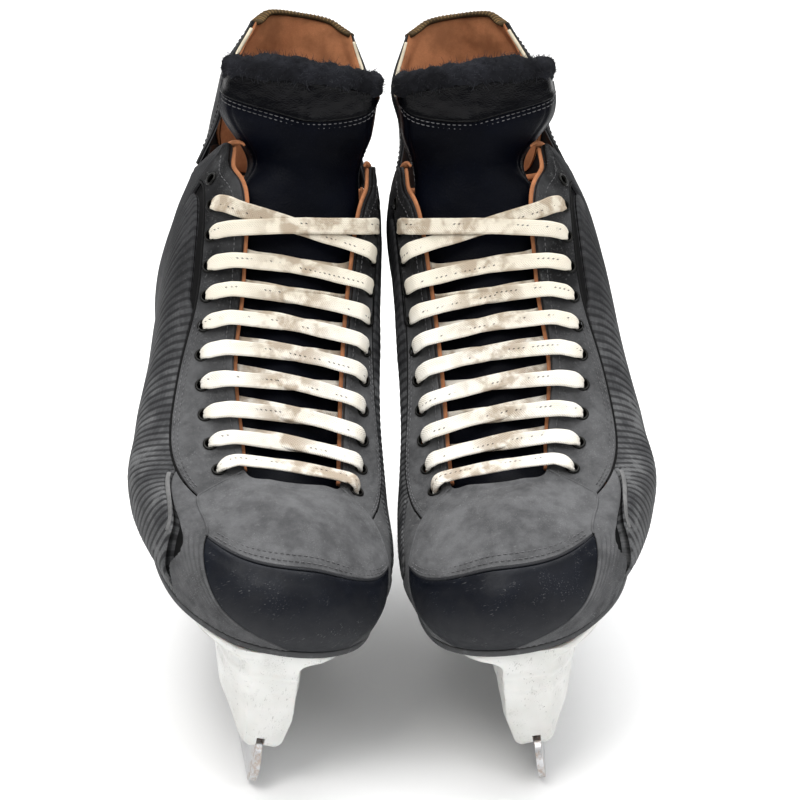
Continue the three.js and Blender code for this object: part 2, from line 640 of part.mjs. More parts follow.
function lacePiece() {
  const rows = { lateral: eyelets("lateral").slice(1), medial: eyelets("medial").slice(1) };
  const stop = (row, v, depth) => ({ at: upper(row.a, v, depth), face: row.out });
  // A strand over the tongue from one eyelet to another. It leaves its first facing on top, and reaches the
  // second one on top of it too, or behind it. Level lifts its middle over another strand.
  const strand = (from, to, level, behind) => {
    const depth = behind ? UNDER : OVER;
    const start = stop(from, 1, OVER - 1.3);
    const end = stop(to, 1, depth + (behind ? 1 : -1.3));
    const [low, high] = [nearestOnTongue(start.at), nearestOnTongue(end.at)];
    const bridge = (share) => {
      const face = from.out.clone().lerp(to.out, share).normalize();
      const at = start.at.clone().lerp(end.at, share);
      const ground = tongue(at.x / 36, mix(low, high, share), 0);
      const lift = Math.max(ground.sub(at).dot(face) + CLEAR, 0);
      return { at: at.addScaledVector(face, lift + level * Math.sin(Math.PI * share) ** 2), face };
    };
    const first = [stop(from, EYELET_V - 0.03, OVER), stop(from, EYELET_V + 0.05, OVER), start];
    const second = [end, stop(to, EYELET_V + 0.05, depth), stop(to, EYELET_V - 0.03, depth)];
    return ribbon([...first, bridge(0.3), bridge(0.5), bridge(0.7), ...second], 7);
  };
  const through = (row) => {
    const middle = upper(row.a, EYELET_V, (OVER + UNDER) / 2);
    return rod(middle, row.out, LACE.bunched, UNDER - OVER, 4);
  };
  const inner = (from, to) => {
    const stops = [0, 0.5, 1].map((t) => stop({ a: mix(from.a, to.a, t), out: from.out }, EYELET_V, UNDER));
    return ribbon(stops, 3);
  };
  const last = rows.lateral.length - 1;
  const parts = [strand(rows.lateral[last], rows.medial[last], 1, false)];
  for (const [own, other] of [["lateral", "medial"], ["medial", "lateral"]]) {
    parts.push(inner(rows[own][last], rows[own][last - 1]));
    parts.push(...rows[own].map(through));
    for (let k = last - 1; k > 0; k--) {
      const onTop = own === "medial" ? k > 1 : k === 1;
      parts.push(strand(rows[own][k], rows[other][k - 1], onTop ? 2 : 0.5, k > 1));
    }
  }
  return { lace: [join(...parts), FINISH.lace] };
}

// The free ends go back from the top laced eyelets, down inside the boot and along the footbed.
const TAILS = {
  lateral: [
    [37, 34, 219], [38, 41, 214], [39, 47, 205], [40, 50, 193], [40, 52, 178], [39, 53, 162], [37, 54, 146],
    [35, 54, 130], [33, 52, 115], [29, 46, 102], [25, 36, 93.5], [21, 24, 89], [17, 10, 87.5], [12, -4, 87],
    [4, -16, 86.9], [-7, -22, 86.8], [-16, -18, 86.9], [-19, -8, 87], [-17, 4, 87.2], [-13, 16, 87.4],
  ],
  medial: [
    [-30, 36, 216], [-31, 43, 210], [-32, 49, 201], [-33, 53, 189], [-33, 56, 174], [-33, 58, 158], [-31, 60, 142],
    [-29, 61, 127], [-27, 63, 113], [-24, 68, 101], [-20, 76, 93.5], [-15, 86, 90], [-8, 96, 89], [2, 103, 89.1],
    [12, 101, 89.1], [18, 92, 88.9], [18, 81, 88.7], [14, 70, 88.5], [9, 59, 88.3], [5, 48, 88],
  ],
};

function tailPieces() {
  const pieces = {};
  for (const [side, route] of Object.entries(TAILS)) {
    const wall = side === "lateral" ? 1 : -1;
    const points = route.map((p) => vec(...p));
    const path = curve(points);
    const stops = points.map((at, i) => {
      const along = path.getTangent(i / (points.length - 1));
      const lying = smooth(-at.z, -135, -95);
      const face = vec(-wall * (1 - lying), 0.15, lying).normalize();
      return { at, face: face.addScaledVector(along, -face.dot(along)).normalize() };
    });
    pieces[`lace_tail_${side}`] = [ribbon(stops, 30), FINISH.lace];
  }
  return pieces;
}

// ---- Assembly ----
function buildSkate(prefix, mirrored) {
  const skate = new THREE.Group();
  const pieces = {
    ...solePieces(),
    ...toePieces(),
    ...sidePieces("lateral"),
    ...sidePieces("medial"),
    ...liningPiece(),
    ...backstayPiece(),
    ...guardPieces(),
    ...tonguePieces(),
    ...holderPieces(),
    ...runnerPiece(),
    ...lacePiece(),
    ...tailPieces(),
  };
  for (const [name, [shape, material]] of Object.entries(pieces)) {
    const mesh = new THREE.Mesh(shape, material);
    mesh.name = `${prefix}_${name}`;
    skate.add(mesh);
  }
  const stance = new THREE.Matrix4()
    .makeTranslation(STANCE, 0, 0)
    .multiply(new THREE.Matrix4().makeRotationZ(-TOE_IN))
    .multiply(new THREE.Matrix4().makeRotationY(-LEAN));
  if (mirrored) stance.premultiply(new THREE.Matrix4().makeScale(-1, 1, 1));
  skate.applyMatrix4(stance);
  return skate;
}

const pair = new THREE.Group();
pair.add(buildSkate("left", false), buildSkate("right", true));
const box = new THREE.Box3().setFromObject(pair, true);
const middle = box.getCenter(vec(0, 0, 0));
pair.position.set(-middle.x, -middle.y, -box.min.z);

export default pair;
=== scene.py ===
"""A pair of hockey skates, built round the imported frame.

Each skate is made in its own upright frame, in millimetres: +X is its lateral side, -Y its toe, and Z = 0 the
ice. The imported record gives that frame's place. The right skate is the left one's mirror image.
"""
import json
import math

import bmesh
import bpy
import numpy as np
from mathutils import Matrix, Vector


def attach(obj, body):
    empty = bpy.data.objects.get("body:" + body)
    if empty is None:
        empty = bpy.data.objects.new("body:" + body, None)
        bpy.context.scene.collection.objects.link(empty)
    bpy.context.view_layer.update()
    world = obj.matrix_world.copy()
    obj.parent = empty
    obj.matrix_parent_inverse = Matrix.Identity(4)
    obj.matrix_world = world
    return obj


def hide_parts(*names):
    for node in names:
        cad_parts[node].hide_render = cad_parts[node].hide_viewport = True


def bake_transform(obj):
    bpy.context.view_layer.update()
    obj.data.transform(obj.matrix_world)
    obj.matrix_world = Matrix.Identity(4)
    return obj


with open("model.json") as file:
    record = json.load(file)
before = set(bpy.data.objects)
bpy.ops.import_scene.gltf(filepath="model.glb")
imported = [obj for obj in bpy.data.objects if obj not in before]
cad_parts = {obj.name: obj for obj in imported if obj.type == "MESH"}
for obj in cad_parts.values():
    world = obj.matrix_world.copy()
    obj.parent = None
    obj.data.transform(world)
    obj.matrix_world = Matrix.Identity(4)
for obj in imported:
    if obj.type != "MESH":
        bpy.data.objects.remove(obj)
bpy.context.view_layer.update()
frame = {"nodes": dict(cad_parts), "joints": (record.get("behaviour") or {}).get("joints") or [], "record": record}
RECORD = frame["record"]
MM = 0.001
SIDES = ("left", "right")

# ---- Where the skates stand ----
mounts = {m["name"]: m for m in RECORD["mounts"]}
joints = {j["name"]: j for j in frame["joints"]}
up = -Vector(mounts["left_blade"]["axis"]).normalized()
lateral = Vector(joints["left_tongue_hinge"]["axis"])
lateral = (lateral - up * lateral.dot(up)).normalized()
heelward = up.cross(lateral)
ORIGIN = Vector(mounts["left_blade"]["pos_m"])
LEFT = np.array([lateral, heelward, up])


def to_world(points, side):
    """Points of a skate's own frame, in mm, in the row frame, in metres."""
    placed = np.asarray(points, float) @ LEFT * MM + np.array(ORIGIN)
    return placed if side == "left" else placed * (-1, 1, 1)


def to_skate(point):
    """The other way, for the left skate."""
    return LEFT @ (np.array(point) - np.array(ORIGIN)) / MM


# ---- Driving dimensions, as in the frame's source ----
SOLE_Z, SOLE_PITCH, OUTSOLE = 80, 0.02, 3.5
GAP = 0.35
SHELL = 2.4
EYELET_ROWS = 11
EYELET_V = 0.885
RIB_PITCH = 2.8  # mm from one moulded rib of a quarter to the next
RIB_HEIGHT = 115  # mm up the side of the boot
RIB_SPACING = 36  # mm from one of the RIBS to the next
BOLT_Y = {"front": -92, "rear": 92}
# Points up the upper, from the toe round by the lateral side. Each rib starts at the sole.
RIBS = [
    [(-10, -146), (-11, -152, 91), (-9, -144, 109), (-5, -114, 127), (-4, -85, 130)],
    [(20, -139), (24, -144, 92), (20, -134, 110), (11, -109, 127), (7, -84, 130)],
    [(43, -108), (49, -110, 96), (46, -104, 115), (34, -92, 122), (18, -80, 130)],
    [(52, -64), (62, -63, 99), (64, -60, 117), (49, -63, 131), (21, -62, 140)],
    [(48, -25), (61, -27, 103), (65, -28, 131), (54, -32, 153), (27, -36, 167)],
    [(43, 8), (54, 7, 108), (61, 4, 147), (54, -2, 180), (26, -7, 199)],
    [(39, 40), (48, 41, 111), (57, 38, 158), (53, 33, 208), (31, 30, 252)],
    [(37, 76), (44, 77, 112), (55, 74, 160), (52, 70, 202), (46, 66, 229)],
    [(29, 116), (34, 121, 112), (38, 120, 154), (37, 112, 190), (37, 106, 215)],
    [(0, 138), (0, 145, 110), (0, 142, 150), (0, 134, 184), (0, 130, 208)],
    [(-28, 116), (-32, 121, 112), (-36, 120, 154), (-36, 112, 190), (-37, 106, 215)],
    [(-34, 76), (-39, 77, 112), (-46, 74, 160), (-47, 70, 202), (-43, 66, 228)],
    [(-36, 40), (-41, 41, 111), (-45, 38, 158), (-45, 33, 208), (-32, 28, 250)],
    [(-39, 8), (-44, 7, 108), (-44, 4, 147), (-45, -2, 180), (-28, -9, 197)],
    [(-44, -25), (-49, -27, 103), (-48, -30, 129), (-45, -35, 150), (-27, -38, 164)],
    [(-49, -64), (-53, -63, 98), (-52, -62, 114), (-45, -64, 129), (-27, -63, 138)],
    [(-47, -105), (-51, -106, 95), (-48, -103, 111), (-37, -92, 122), (-25, -81, 129)],
    [(-35, -134), (-38, -138, 91), (-34, -129, 108), (-22, -108, 124), (-16, -84, 130)],
]
RIB_COUNT = len(RIBS)
HEEL = RIB_COUNT / 2


# ---- Curves and surfaces ----
def sole_z(y):
    return SOLE_Z + SOLE_PITCH * y


def mix(a, b, t):
    return a + (b - a) * t


def smooth(x, low, high):
    """It rises from 0 at low to 1 at high."""
    t = np.clip((np.asarray(x, float) - low) / (high - low), 0, 1)
    return t * t * (3 - 2 * t)


def unit(v):
    return v / np.maximum(np.linalg.norm(v, axis=-1, keepdims=True), 1e-9)


def bell(x, middle, wide):
    """A bump of height 1 about the middle."""
    return np.exp(-(((x - middle) / wide) ** 2))


def distances(path):
    """How far along a path each of its points lies."""
    return np.concatenate([[0], np.cumsum(np.linalg.norm(np.diff(path, axis=0), axis=1))])


def at_distances(at, run, values):
    return np.stack([np.interp(at, run, values[:, k]) for k in range(values.shape[1])], -1)


def blend4(p0, p1, p2, p3, w):
    """A Catmull-Rom stretch between p1 and p2."""
    w = w.reshape(w.shape + (1,) * (p1.ndim - w.ndim))
    return p1 + 0.5 * w * (p2 - p0 + w * (2 * p0 - 5 * p1 + 4 * p2 - p3 + w * (3 * (p1 - p2) + p3 - p0)))


def curve(points, t, closed=False):
    """Points at t, from 0 to 1, of the curve through points."""
    points = np.asarray(points, float)
    t = np.asarray(t, float)
    n = len(points)
    x = t * (n if closed else n - 1)
    i = np.floor(x).astype(int)
    if closed:
        return blend4(*(points[(i + k) % n] for k in (-1, 0, 1, 2)), x - i)
    i = np.clip(i, 0, n - 2)
    ends = np.concatenate([[2 * points[0] - points[1]], points, [2 * points[-1] - points[-2]]])
    return blend4(*(ends[i + k] for k in range(4)), x - i)


def across(columns, t):
    """For each row of columns (m, n, 3), the point at its own t along the open curve through the row."""
    n = columns.shape[1]
    x = np.clip(t, 0, 1) * (n - 1)
    i = np.clip(np.floor(x).astype(int), 0, n - 2)
    first = 2 * columns[:, :1] - columns[:, 1:2]
    last = 2 * columns[:, -1:] - columns[:, -2:-1]
    ends = np.concatenate([first, columns, last], axis=1)
    row = np.arange(len(i))
    return blend4(*(ends[row, i + k] for k in range(4)), x - i)


LEVELS = np.array([[(*p, sole_z(p[1])) if len(p) == 2 else p for p in rib] for rib in RIBS], float)


def flat(function):
    """Lets a surface take arrays of any one shape."""

    def shaped(u, v):
        u, v = np.broadcast_arrays(np.asarray(u, float), np.asarray(v, float))
        return function(u.ravel(), v.ravel()).reshape(u.shape + (3,))

    return shaped


@flat
def skin(a, v):
    """The upper's outside: a counts ribs from the toe by the lateral side, and v runs up to the top line."""
    return across(curve(LEVELS, (a / RIB_COUNT) % 1, closed=True), v)


def normal_of(surface, u, v, step=0.01):
    along = surface(u + step, v) - surface(u - step, v)
    rise = surface(u, np.minimum(v + step, 1)) - surface(u, np.maximum(v - step, 0))
    return unit(np.cross(along, rise))


def inside(surface, low=-np.inf, high=np.inf):
    """Gives places at a depth under a surface, whose u runs from low to high."""
    border = 0.02

    def at(u, v, depth=0.0):
        u, v, depth = np.broadcast_arrays(*(np.asarray(x, float) for x in (u, v, depth)))
        normal = normal_of(surface, np.clip(u, low + border, high - border), v)
        return surface(u, v) - normal * depth[..., None]

    return at


upper = inside(skin)

# ---- Smooth noise, for creases and wear in the meshes themselves ----
rng = np.random.default_rng(7)
LATTICE_SIZE = 32
LATTICE = rng.random((LATTICE_SIZE,) * 3)


def noise(points, scale):
    """Smooth noise from -1 to 1 at points in mm, with features about scale mm across."""
    p = np.asarray(points, float) / scale
    i = np.floor(p).astype(int)
    f = p - i
    f = f * f * (3 - 2 * f)
    value = 0
    for dx in (0, 1):
        for dy in (0, 1):
            for dz in (0, 1):
                at = (i + (dx, dy, dz)) % LATTICE_SIZE
                weight = np.ones(f.shape[:-1])
                for k, d in enumerate((dx, dy, dz)):
                    weight = weight * (f[..., k] if d else 1 - f[..., k])
                value = value + LATTICE[at[..., 0], at[..., 1], at[..., 2]] * weight
    return 2 * value - 1


# ---- Meshes ----
def mesh_object(name, side, points, faces, uvs, material):
    mesh = bpy.data.meshes.new(name)
    own = faces if side == "left" else [face[::-1] for face in faces]
    mesh.from_pydata(to_world(points, side).tolist(), [], own)
    layer = mesh.uv_layers.new(name="UVMap")
    corners = np.zeros(len(mesh.loops), np.int32)
    mesh.loops.foreach_get("vertex_index", corners)
    layer.data.foreach_set("uv", uvs[corners].astype(np.float32).ravel())
    mesh.polygons.foreach_set("use_smooth", np.ones(len(mesh.polygons), bool))
    mesh.materials.append(material)
    mesh.update()
    piece = bpy.data.objects.new(name, mesh)
    bpy.context.scene.collection.objects.link(piece)
    return piece


def add(name, parts, finish, body="skate", replaces=()):
    """One piece on each skate, from (points, faces, uv) parts in the skate's own frame.

    Its body is one name, which it is attached to; given as two names with the points, in mm, the piece is left
    unattached and these are not used.
    """
    offset, points, faces, uvs = 0, [], [], []
    for part_points, part_faces, uv in parts:
        part_points = np.asarray(part_points, float).reshape(-1, 3)
        points.append(part_points)
        uvs.append(part_points[:, 1:] if uv is None else np.asarray(uv, float).reshape(-1, 2))
        faces += [tuple(int(k) + offset for k in face) for face in part_faces]
        offset += len(part_points)
    points, uvs = np.concatenate(points), np.concatenate(uvs)
    made = {}
    for side in SIDES:
        full_name = f"{side}_{name}"
        full_name += "_cover" if full_name in frame["nodes"] else ""
        piece = mesh_object(full_name, side, points, faces, uvs, FINISH[finish])
        if replaces:
            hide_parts(*(f"{side}_{node}" for node in replaces))
        if isinstance(body, str):
            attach(piece, f"{side}_{body}")
        else:
            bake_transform(piece)
        made[side] = piece
    return made


def grid_faces(rows, columns, flip=False, closed=False):
    i, j = np.meshgrid(np.arange(rows - 1), np.arange(columns if closed else columns - 1), indexing="ij")
    k = (j + 1) % columns
    quads = np.stack([i * columns + j, (i + 1) * columns + j, (i + 1) * columns + k, i * columns + k], -1)
    quads = quads.reshape(-1, 4)
    return quads[:, ::-1] if flip else quads


def spaced(length, step, roll):
    """Shares of a length from 0 to 1, in steps, that crowd together where an edge is rounded at each end."""
    edge = roll / length
    ends = np.array([0, 0.1, 0.3, 0.6]) * edge
    middle = np.linspace(edge, 1 - edge, max(int(length / step), 3))
    return np.concatenate([ends, middle, 1 - ends[::-1]])


def shell(surface, patch, near, far, size, step=1.5, roll=1.0, relief=None, uv=None):
    """A closed panel between two depths of a surface, with rounded edges.

    patch(s, t) gives the surface's coordinates, and size is the panel's rough length and height in mm.
    relief(u, v, points) lifts its face, in mm, and uv(u, v, points) gives its UVs.
    """
    S, T = np.meshgrid(spaced(size[0], step, roll), spaced(size[1], step, roll), indexing="ij")
    u, v = patch(S, T)
    near = near(u, v) if callable(near) else np.full(u.shape, float(near))
    far = far(u, v) if callable(far) else np.full(u.shape, float(far))
    gaps = [S * size[0], (1 - S) * size[0], T * size[1], (1 - T) * size[1]]
    to_edge = np.min(gaps, axis=0)
    turn = 1 - np.clip(to_edge / roll, 0, 1)
    drop = np.minimum(roll, 0.8 * (far - near)) * (1 - np.sqrt(1 - turn**2))
    face = surface(u, v, near + drop)
    if relief is not None:
        face = surface(u, v, near + drop - relief(u, v, face) * (1 - turn))
    rows, columns = S.shape
    points = np.concatenate([face.reshape(-1, 3), surface(u, v, far).reshape(-1, 3)])
    n = rows * columns
    rim = np.concatenate([
        np.arange(columns - 1),
        np.arange(rows - 1) * columns + columns - 1,
        (rows - 1) * columns + np.arange(columns - 1, 0, -1),
        np.arange(rows - 1, 0, -1) * columns,
    ])
    ahead = np.roll(rim, -1)
    sides = np.stack([rim, ahead, ahead + n, rim + n], -1)
    back = grid_faces(rows, columns, flip=True) + n
    faces = np.concatenate([grid_faces(rows, columns), back, sides[:, ::-1]])
    coordinates = None if uv is None else np.tile(uv(u, v, face).reshape(-1, 2), (2, 1))
    return outwards(points, faces, coordinates)


def outwards(points, faces, uv):
    """The same closed part with its faces turned outwards."""
    points = np.asarray(points, float).reshape(-1, 3)
    volume = 0.0
    by_size = {}
    for face in faces:
        by_size.setdefault(len(face), []).append(face)
    for group in by_size.values():
        group = np.asarray(group, int)
        for k in range(1, group.shape[1] - 1):
            a, b, c = points[group[:, 0]], points[group[:, k]], points[group[:, k + 1]]
            volume += float(np.einsum("ij,ij->i", a, np.cross(b, c)).sum())
    faces = [tuple(int(k) for k in face) for face in faces]
    return points, faces if volume > 0 else [face[::-1] for face in faces], uv


def loft(rings, whole_ends=False):
    """A closed solid through rings (rows, count, 3).

    Each end is one face, or a ladder of faces between the two halves of its ring.
    """
    rings = np.asarray(rings, float)
    rows, count = rings.shape[:2]
    faces = [tuple(face) for face in grid_faces(rows, count, closed=True)]
    last = (rows - 1) * count
    if whole_ends:
        faces += [tuple(range(count)), tuple(last + k for k in reversed(range(count)))]
    for k in range(0 if whole_ends else count // 2 - 1):
        rung = (k, k + 1, count - 2 - k, count - 1 - k)
        faces += [rung, tuple(last + corner for corner in reversed(rung))]
    return outwards(rings, faces, None)


def tangents(path):
    return unit(np.gradient(path, axis=0))


def resample(path, step, *others):
    """The path and what goes with it, at even steps of about step mm."""
    run = distances(path)
    at = np.linspace(0, run[-1], max(int(round(run[-1] / step)), 2) + 1)
    return [at_distances(at, run, values) for values in (path, *others)]


def ring(count, half_x, half_y=None):
    """Points round an ellipse."""
    angle = np.arange(count) * 2 * math.pi / count
    half_y = half_x if half_y is None else half_y
    return np.stack([half_x * np.cos(angle), half_y * np.sin(angle)], -1)


def sweep(path, normals, section, scale=None, closed=False):
    """A section (k, 2) of (across, along the normal) carried along a path.

    Its UVs are the distance along it and the place across it.
    """
    path, normals = np.asarray(path, float), unit(np.asarray(normals, float))
    along = unit(np.roll(path, -1, 0) - np.roll(path, 1, 0)) if closed else tangents(path)
    sides = unit(np.cross(along, normals))
    normals = np.cross(sides, along)
    scale = np.ones((len(path), 2)) if scale is None else np.asarray(scale, float)
    rings = (
        path[:, None]
        + sides[:, None] * (section[None, :, :1] * scale[:, None, :1])
        + normals[:, None] * (section[None, :, 1:] * scale[:, None, 1:])
    )
    n, k = len(path), len(section)
    faces = [tuple(int(q) for q in face) for face in grid_faces(n, k, closed=True)]
    if closed:
        last = (n - 1) * k
        faces += [(last + j, j, (j + 1) % k, last + (j + 1) % k) for j in range(k)]
    else:
        faces += [tuple(range(k)), tuple((n - 1) * k + j for j in range(k))[::-1]]
    run = distances(path)
    uv = np.stack([np.repeat(run, k), np.tile(section[:, 0], n)], -1)
    return outwards(rings, faces, uv)


STITCH = {"pitch": 2.6, "length": 1.9, "step": 0.25}


def stitches(path, normals, radius=0.26):
    """A row of stitches that lie along a path over a surface."""
    path, normals = resample(np.asarray(path, float), STITCH["step"], np.asarray(normals, float))
    run = np.arange(len(path)) * STITCH["step"]
    arch = np.array([-0.8, 0.55, 1, 0.55, -0.8]) * radius
    thick = np.array([0.5, 1, 1.1, 1, 0.5])[:, None] * np.ones((1, 2))
    parts = []
    for start in np.arange(STITCH["pitch"] / 2, run[-1] - STITCH["length"], STITCH["pitch"]):
        at = np.linspace(start, start + STITCH["length"], 5)
        out = unit(at_distances(at, run, normals))
        parts.append(sweep(at_distances(at, run, path) + out * arch[:, None], out, ring(6, radius), thick))
    return parts


def up_line(u):
    """A line straight up a surface, for a seam."""
    return lambda t: (np.full_like(t, u), t)


def level_line(v):
    """A line across a surface at one height, for a seam."""
    return lambda t: (t, np.full_like(t, v))


def seam(surface, low, high, line, lift=0.0, step=1.0):
    """Points and normals along line(t) of a surface, for stitches and piping."""
    t = np.linspace(low, high, 240)
    u, v = line(t)
    u, v = np.broadcast_arrays(u, v)
    points = surface(u, v, -lift)
    ahead = surface(u, v, -lift - 1)
    path, normals = resample(points, step, ahead - points)
    return path, unit(normals)


def boolean(operation, part, *tools):
    """The part with the tools added to it or cut from it."""
    made = []
    for points, faces, _ in (part, *tools):
        mesh = bpy.data.meshes.new("work")
        faces = [tuple(int(k) for k in face) for face in faces]
        mesh.from_pydata(np.asarray(points).reshape(-1, 3).tolist(), [], faces)
        made.append(bpy.data.objects.new("work", mesh))
        bpy.context.scene.collection.objects.link(made[-1])
    for tool in made[1:]:
        modifier = made[0].modifiers.new("work", "BOOLEAN")
        modifier.operation = operation
        modifier.solver = "EXACT"
        modifier.object = tool
    bpy.context.view_layer.update()
    result = bpy.data.meshes.new_from_object(made[0].evaluated_get(bpy.context.evaluated_depsgraph_get()))
    points = np.zeros(len(result.vertices) * 3)
    result.vertices.foreach_get("co", points)
    faces = [tuple(p.vertices) for p in result.polygons]
    for obj in made:
        bpy.data.objects.remove(obj)
    return points.reshape(-1, 3), faces, None


def box_part(low, high):
    corners = [(x, y, z) for x in (low[0], high[0]) for y in (low[1], high[1]) for z in (low[2], high[2])]
    faces = [(0, 1, 3, 2), (4, 6, 7, 5), (0, 4, 5, 1), (2, 3, 7, 6), (0, 2, 6, 4), (1, 5, 7, 3)]
    return outwards(corners, faces, None)


def rod_part(middle, along, radius, length, sides=24):
    middle, along = np.asarray(middle, float), unit(np.asarray(along, float))
    side = unit(np.cross(along, (1, 0, 0) if abs(along[0]) < 0.9 else (0, 1, 0)))
    other = np.cross(along, side)
    circle = ring(sides, radius)
    flat_ring = circle[:, :1] * side + circle[:, 1:] * other
    ends = (-0.5, 0.5)
    return loft([middle + along * length * end + flat_ring for end in ends])


# ---- Materials ----
WAVE_TURN = math.pi / 10  # the wave texture's scale for ridges one unit apart


class Finish:
    """A procedural material. Lengths are in mm."""

    def __init__(self, name):
        self.material = bpy.data.materials.new(name)
        self.material.use_nodes = True
        self.nodes = self.material.node_tree.nodes
        self.shader = self.nodes["Principled BSDF"]
        coordinates = self.nodes.new("ShaderNodeTexCoord")
        self.uv = coordinates.outputs["UV"]
        self.place = self.stretched(coordinates.outputs["Object"], (1000, 1000, 1000))
        self.normal = None

    def new(self, kind, inputs, output=0, **settings):
        node = self.nodes.new(kind)
        for key, value in settings.items():
            setattr(node, key, value)
        for key, value in inputs.items():
            if isinstance(value, bpy.types.NodeSocket):
                self.material.node_tree.links.new(value, node.inputs[key])
            else:
                node.inputs[key].default_value = value
        return node.outputs[output]

    def stretched(self, vector, scale, turn=(0, 0, 0)):
        return self.new("ShaderNodeMapping", {"Vector": vector, "Scale": scale, "Rotation": turn})

    def axis(self, vector, number):
        """One coordinate of a vector, from 0 for X to 2 for Z."""
        return self.new("ShaderNodeSeparateXYZ", {"Vector": vector}, output=number)

    def noise(self, size, detail=4.0, roughness=0.55, vector=None):
        """Noise from 0 to 1, with features about size mm across."""
        inputs = {"Vector": vector or self.place, "Scale": 1 / size, "Detail": detail, "Roughness": roughness}
        return self.new("ShaderNodeTexNoise", inputs)

    def cells(self, size):
        """Distances from the middles of cells about size mm across."""
        return self.new("ShaderNodeTexVoronoi", {"Vector": self.place, "Scale": 1 / size})

    def waves(self, pitch, vector, distortion=0.0, direction="X"):
        """Ridges from 0 to 1, pitch mm apart."""
        inputs = {"Vector": vector, "Scale": WAVE_TURN / pitch, "Distortion": distortion, "Detail": 1.0}
        return self.new("ShaderNodeTexWave", inputs, output=1, bands_direction=direction)

    def span(self, value, low, high, to_low=0.0, to_high=1.0):
        inputs = {"Value": value, "From Min": low, "From Max": high, "To Min": to_low, "To Max": to_high}
        return self.new("ShaderNodeMapRange", inputs, interpolation_type="SMOOTHSTEP")

    def math(self, operation, a, b=0.0):
        return self.new("ShaderNodeMath", {0: a, 1: b}, operation=operation)

    def times(self, a, b):
        return self.math("MULTIPLY", a, b)

    def plus(self, a, b):
        return self.math("ADD", a, b)

    def mix(self, share, a, b):
        """Colour a, going over to b as the share rises to 1."""
        a, b = (c if isinstance(c, bpy.types.NodeSocket) else (*c, 1) for c in (a, b))
        return self.new("ShaderNodeMix", {0: share, 6: a, 7: b}, output=2, data_type="RGBA")

    def bump(self, height, distance):
        """Raises the surface by height, from 0 to 1, times distance in mm."""
        inputs = {"Height": height, "Strength": 1.0, "Distance": distance * MM}
        if self.normal is not None:
            inputs["Normal"] = self.normal
        self.normal = self.new("ShaderNodeBump", inputs)

    def marks(self, size, turn, patch):
        """Short straight marks, size mm wide, that run one way, in some patches only."""
        turned = self.stretched(self.place, (1, 1, 1), turn)
        across_them = self.stretched(turned, (0.1, 1, 1))
        stroke = self.span(self.noise(size, 2, 0.5, across_them), 0.62, 0.68)
        return self.times(stroke, self.span(self.noise(patch, 3), 0.5, 0.62))

    def done(self, color, roughness, **others):
        """The material, from the shader's inputs, which are values or the outputs of other nodes."""
        values = {"Base Color": color, "Roughness": roughness}
        values |= {key.replace("_", " "): value for key, value in others.items()}
        if self.normal is not None:
            values["Normal"] = self.normal
        for key, value in values.items():
            if isinstance(value, bpy.types.NodeSocket):
                self.material.node_tree.links.new(value, self.shader.inputs[key])
            else:
                self.shader.inputs[key].default_value = (*value, 1) if key == "Base Color" else value
        return self.material


def tint(color, factor, lift=0.0):
    return tuple(min(c * factor + lift, 1) for c in color)


def leather(name, color, grain, roughness=0.5, worn=0.3, shine=0.35):
    """Grained leather, lighter where it is worn."""
    f = Finish(name)
    grain_cells = f.cells(grain)
    fine = f.noise(0.35, 3)
    wear = f.span(f.noise(14, 5, 0.65), 0.5, 0.72)
    rub = f.times(wear, f.span(f.noise(1.6, 4), 0.35, 0.7, 0.25, 1))
    pale = tint(color, 3.2, 0.02)
    shade = f.mix(f.span(f.noise(40, 3), 0.35, 0.7), tint(color, 0.7), tint(color, 1.25))
    tone = f.mix(f.times(rub, worn), shade, pale)
    f.bump(grain_cells, 0.1)
    f.bump(fine, 0.06)
    f.bump(f.noise(5, 3), 0.25)
    gloss = f.plus(f.span(fine, 0.3, 0.7, roughness - 0.06, roughness + 0.06), f.times(rub, 0.25))
    return f.done(tone, gloss, Specular_IOR_Level=shine)


def nubuck(name, low, high, levels=(125, 185)):
    """Matt charcoal nubuck with pale scuffs and scratches.

    Its tone runs from low, beside the toe, to high, by the top eyelets.
    """
    f = Finish(name)
    nap = f.noise(0.28, 4, 0.7)
    mottle = f.noise(9, 6, 0.65)
    height = f.axis(f.place, 2)
    base = f.mix(f.span(height, *levels), low, high)
    tone = f.mix(f.span(mottle, 0.3, 0.72, 0, 0.5), base, (0.012, 0.012, 0.013))
    tone = f.mix(f.span(f.noise(26, 3), 0.42, 0.66, 0, 0.22), tone, tint(low, 1.9))
    scuff = f.span(f.noise(2.2, 6, 0.7), 0.58, 0.72, 0, 0.4)
    tone = f.mix(scuff, tone, (0.21, 0.212, 0.215))
    scratch = f.math("MAXIMUM", f.marks(0.5, (0.4, 0.7, 0.9), 11), f.marks(0.4, (0.2, -0.6, 2.2), 14))
    tone = f.mix(f.times(scratch, 0.35), tone, (0.3, 0.3, 0.3))
    tone = f.mix(f.span(nap, 0.35, 0.7, 0, 0.3), tone, tint(high, 0.3))
    f.bump(nap, 0.14)
    f.bump(scuff, -0.08)
    f.bump(f.noise(3.5, 4), 0.2)
    return f.done(tone, f.span(mottle, 0.3, 0.7, 0.8, 0.95), Specular_IOR_Level=0.15)


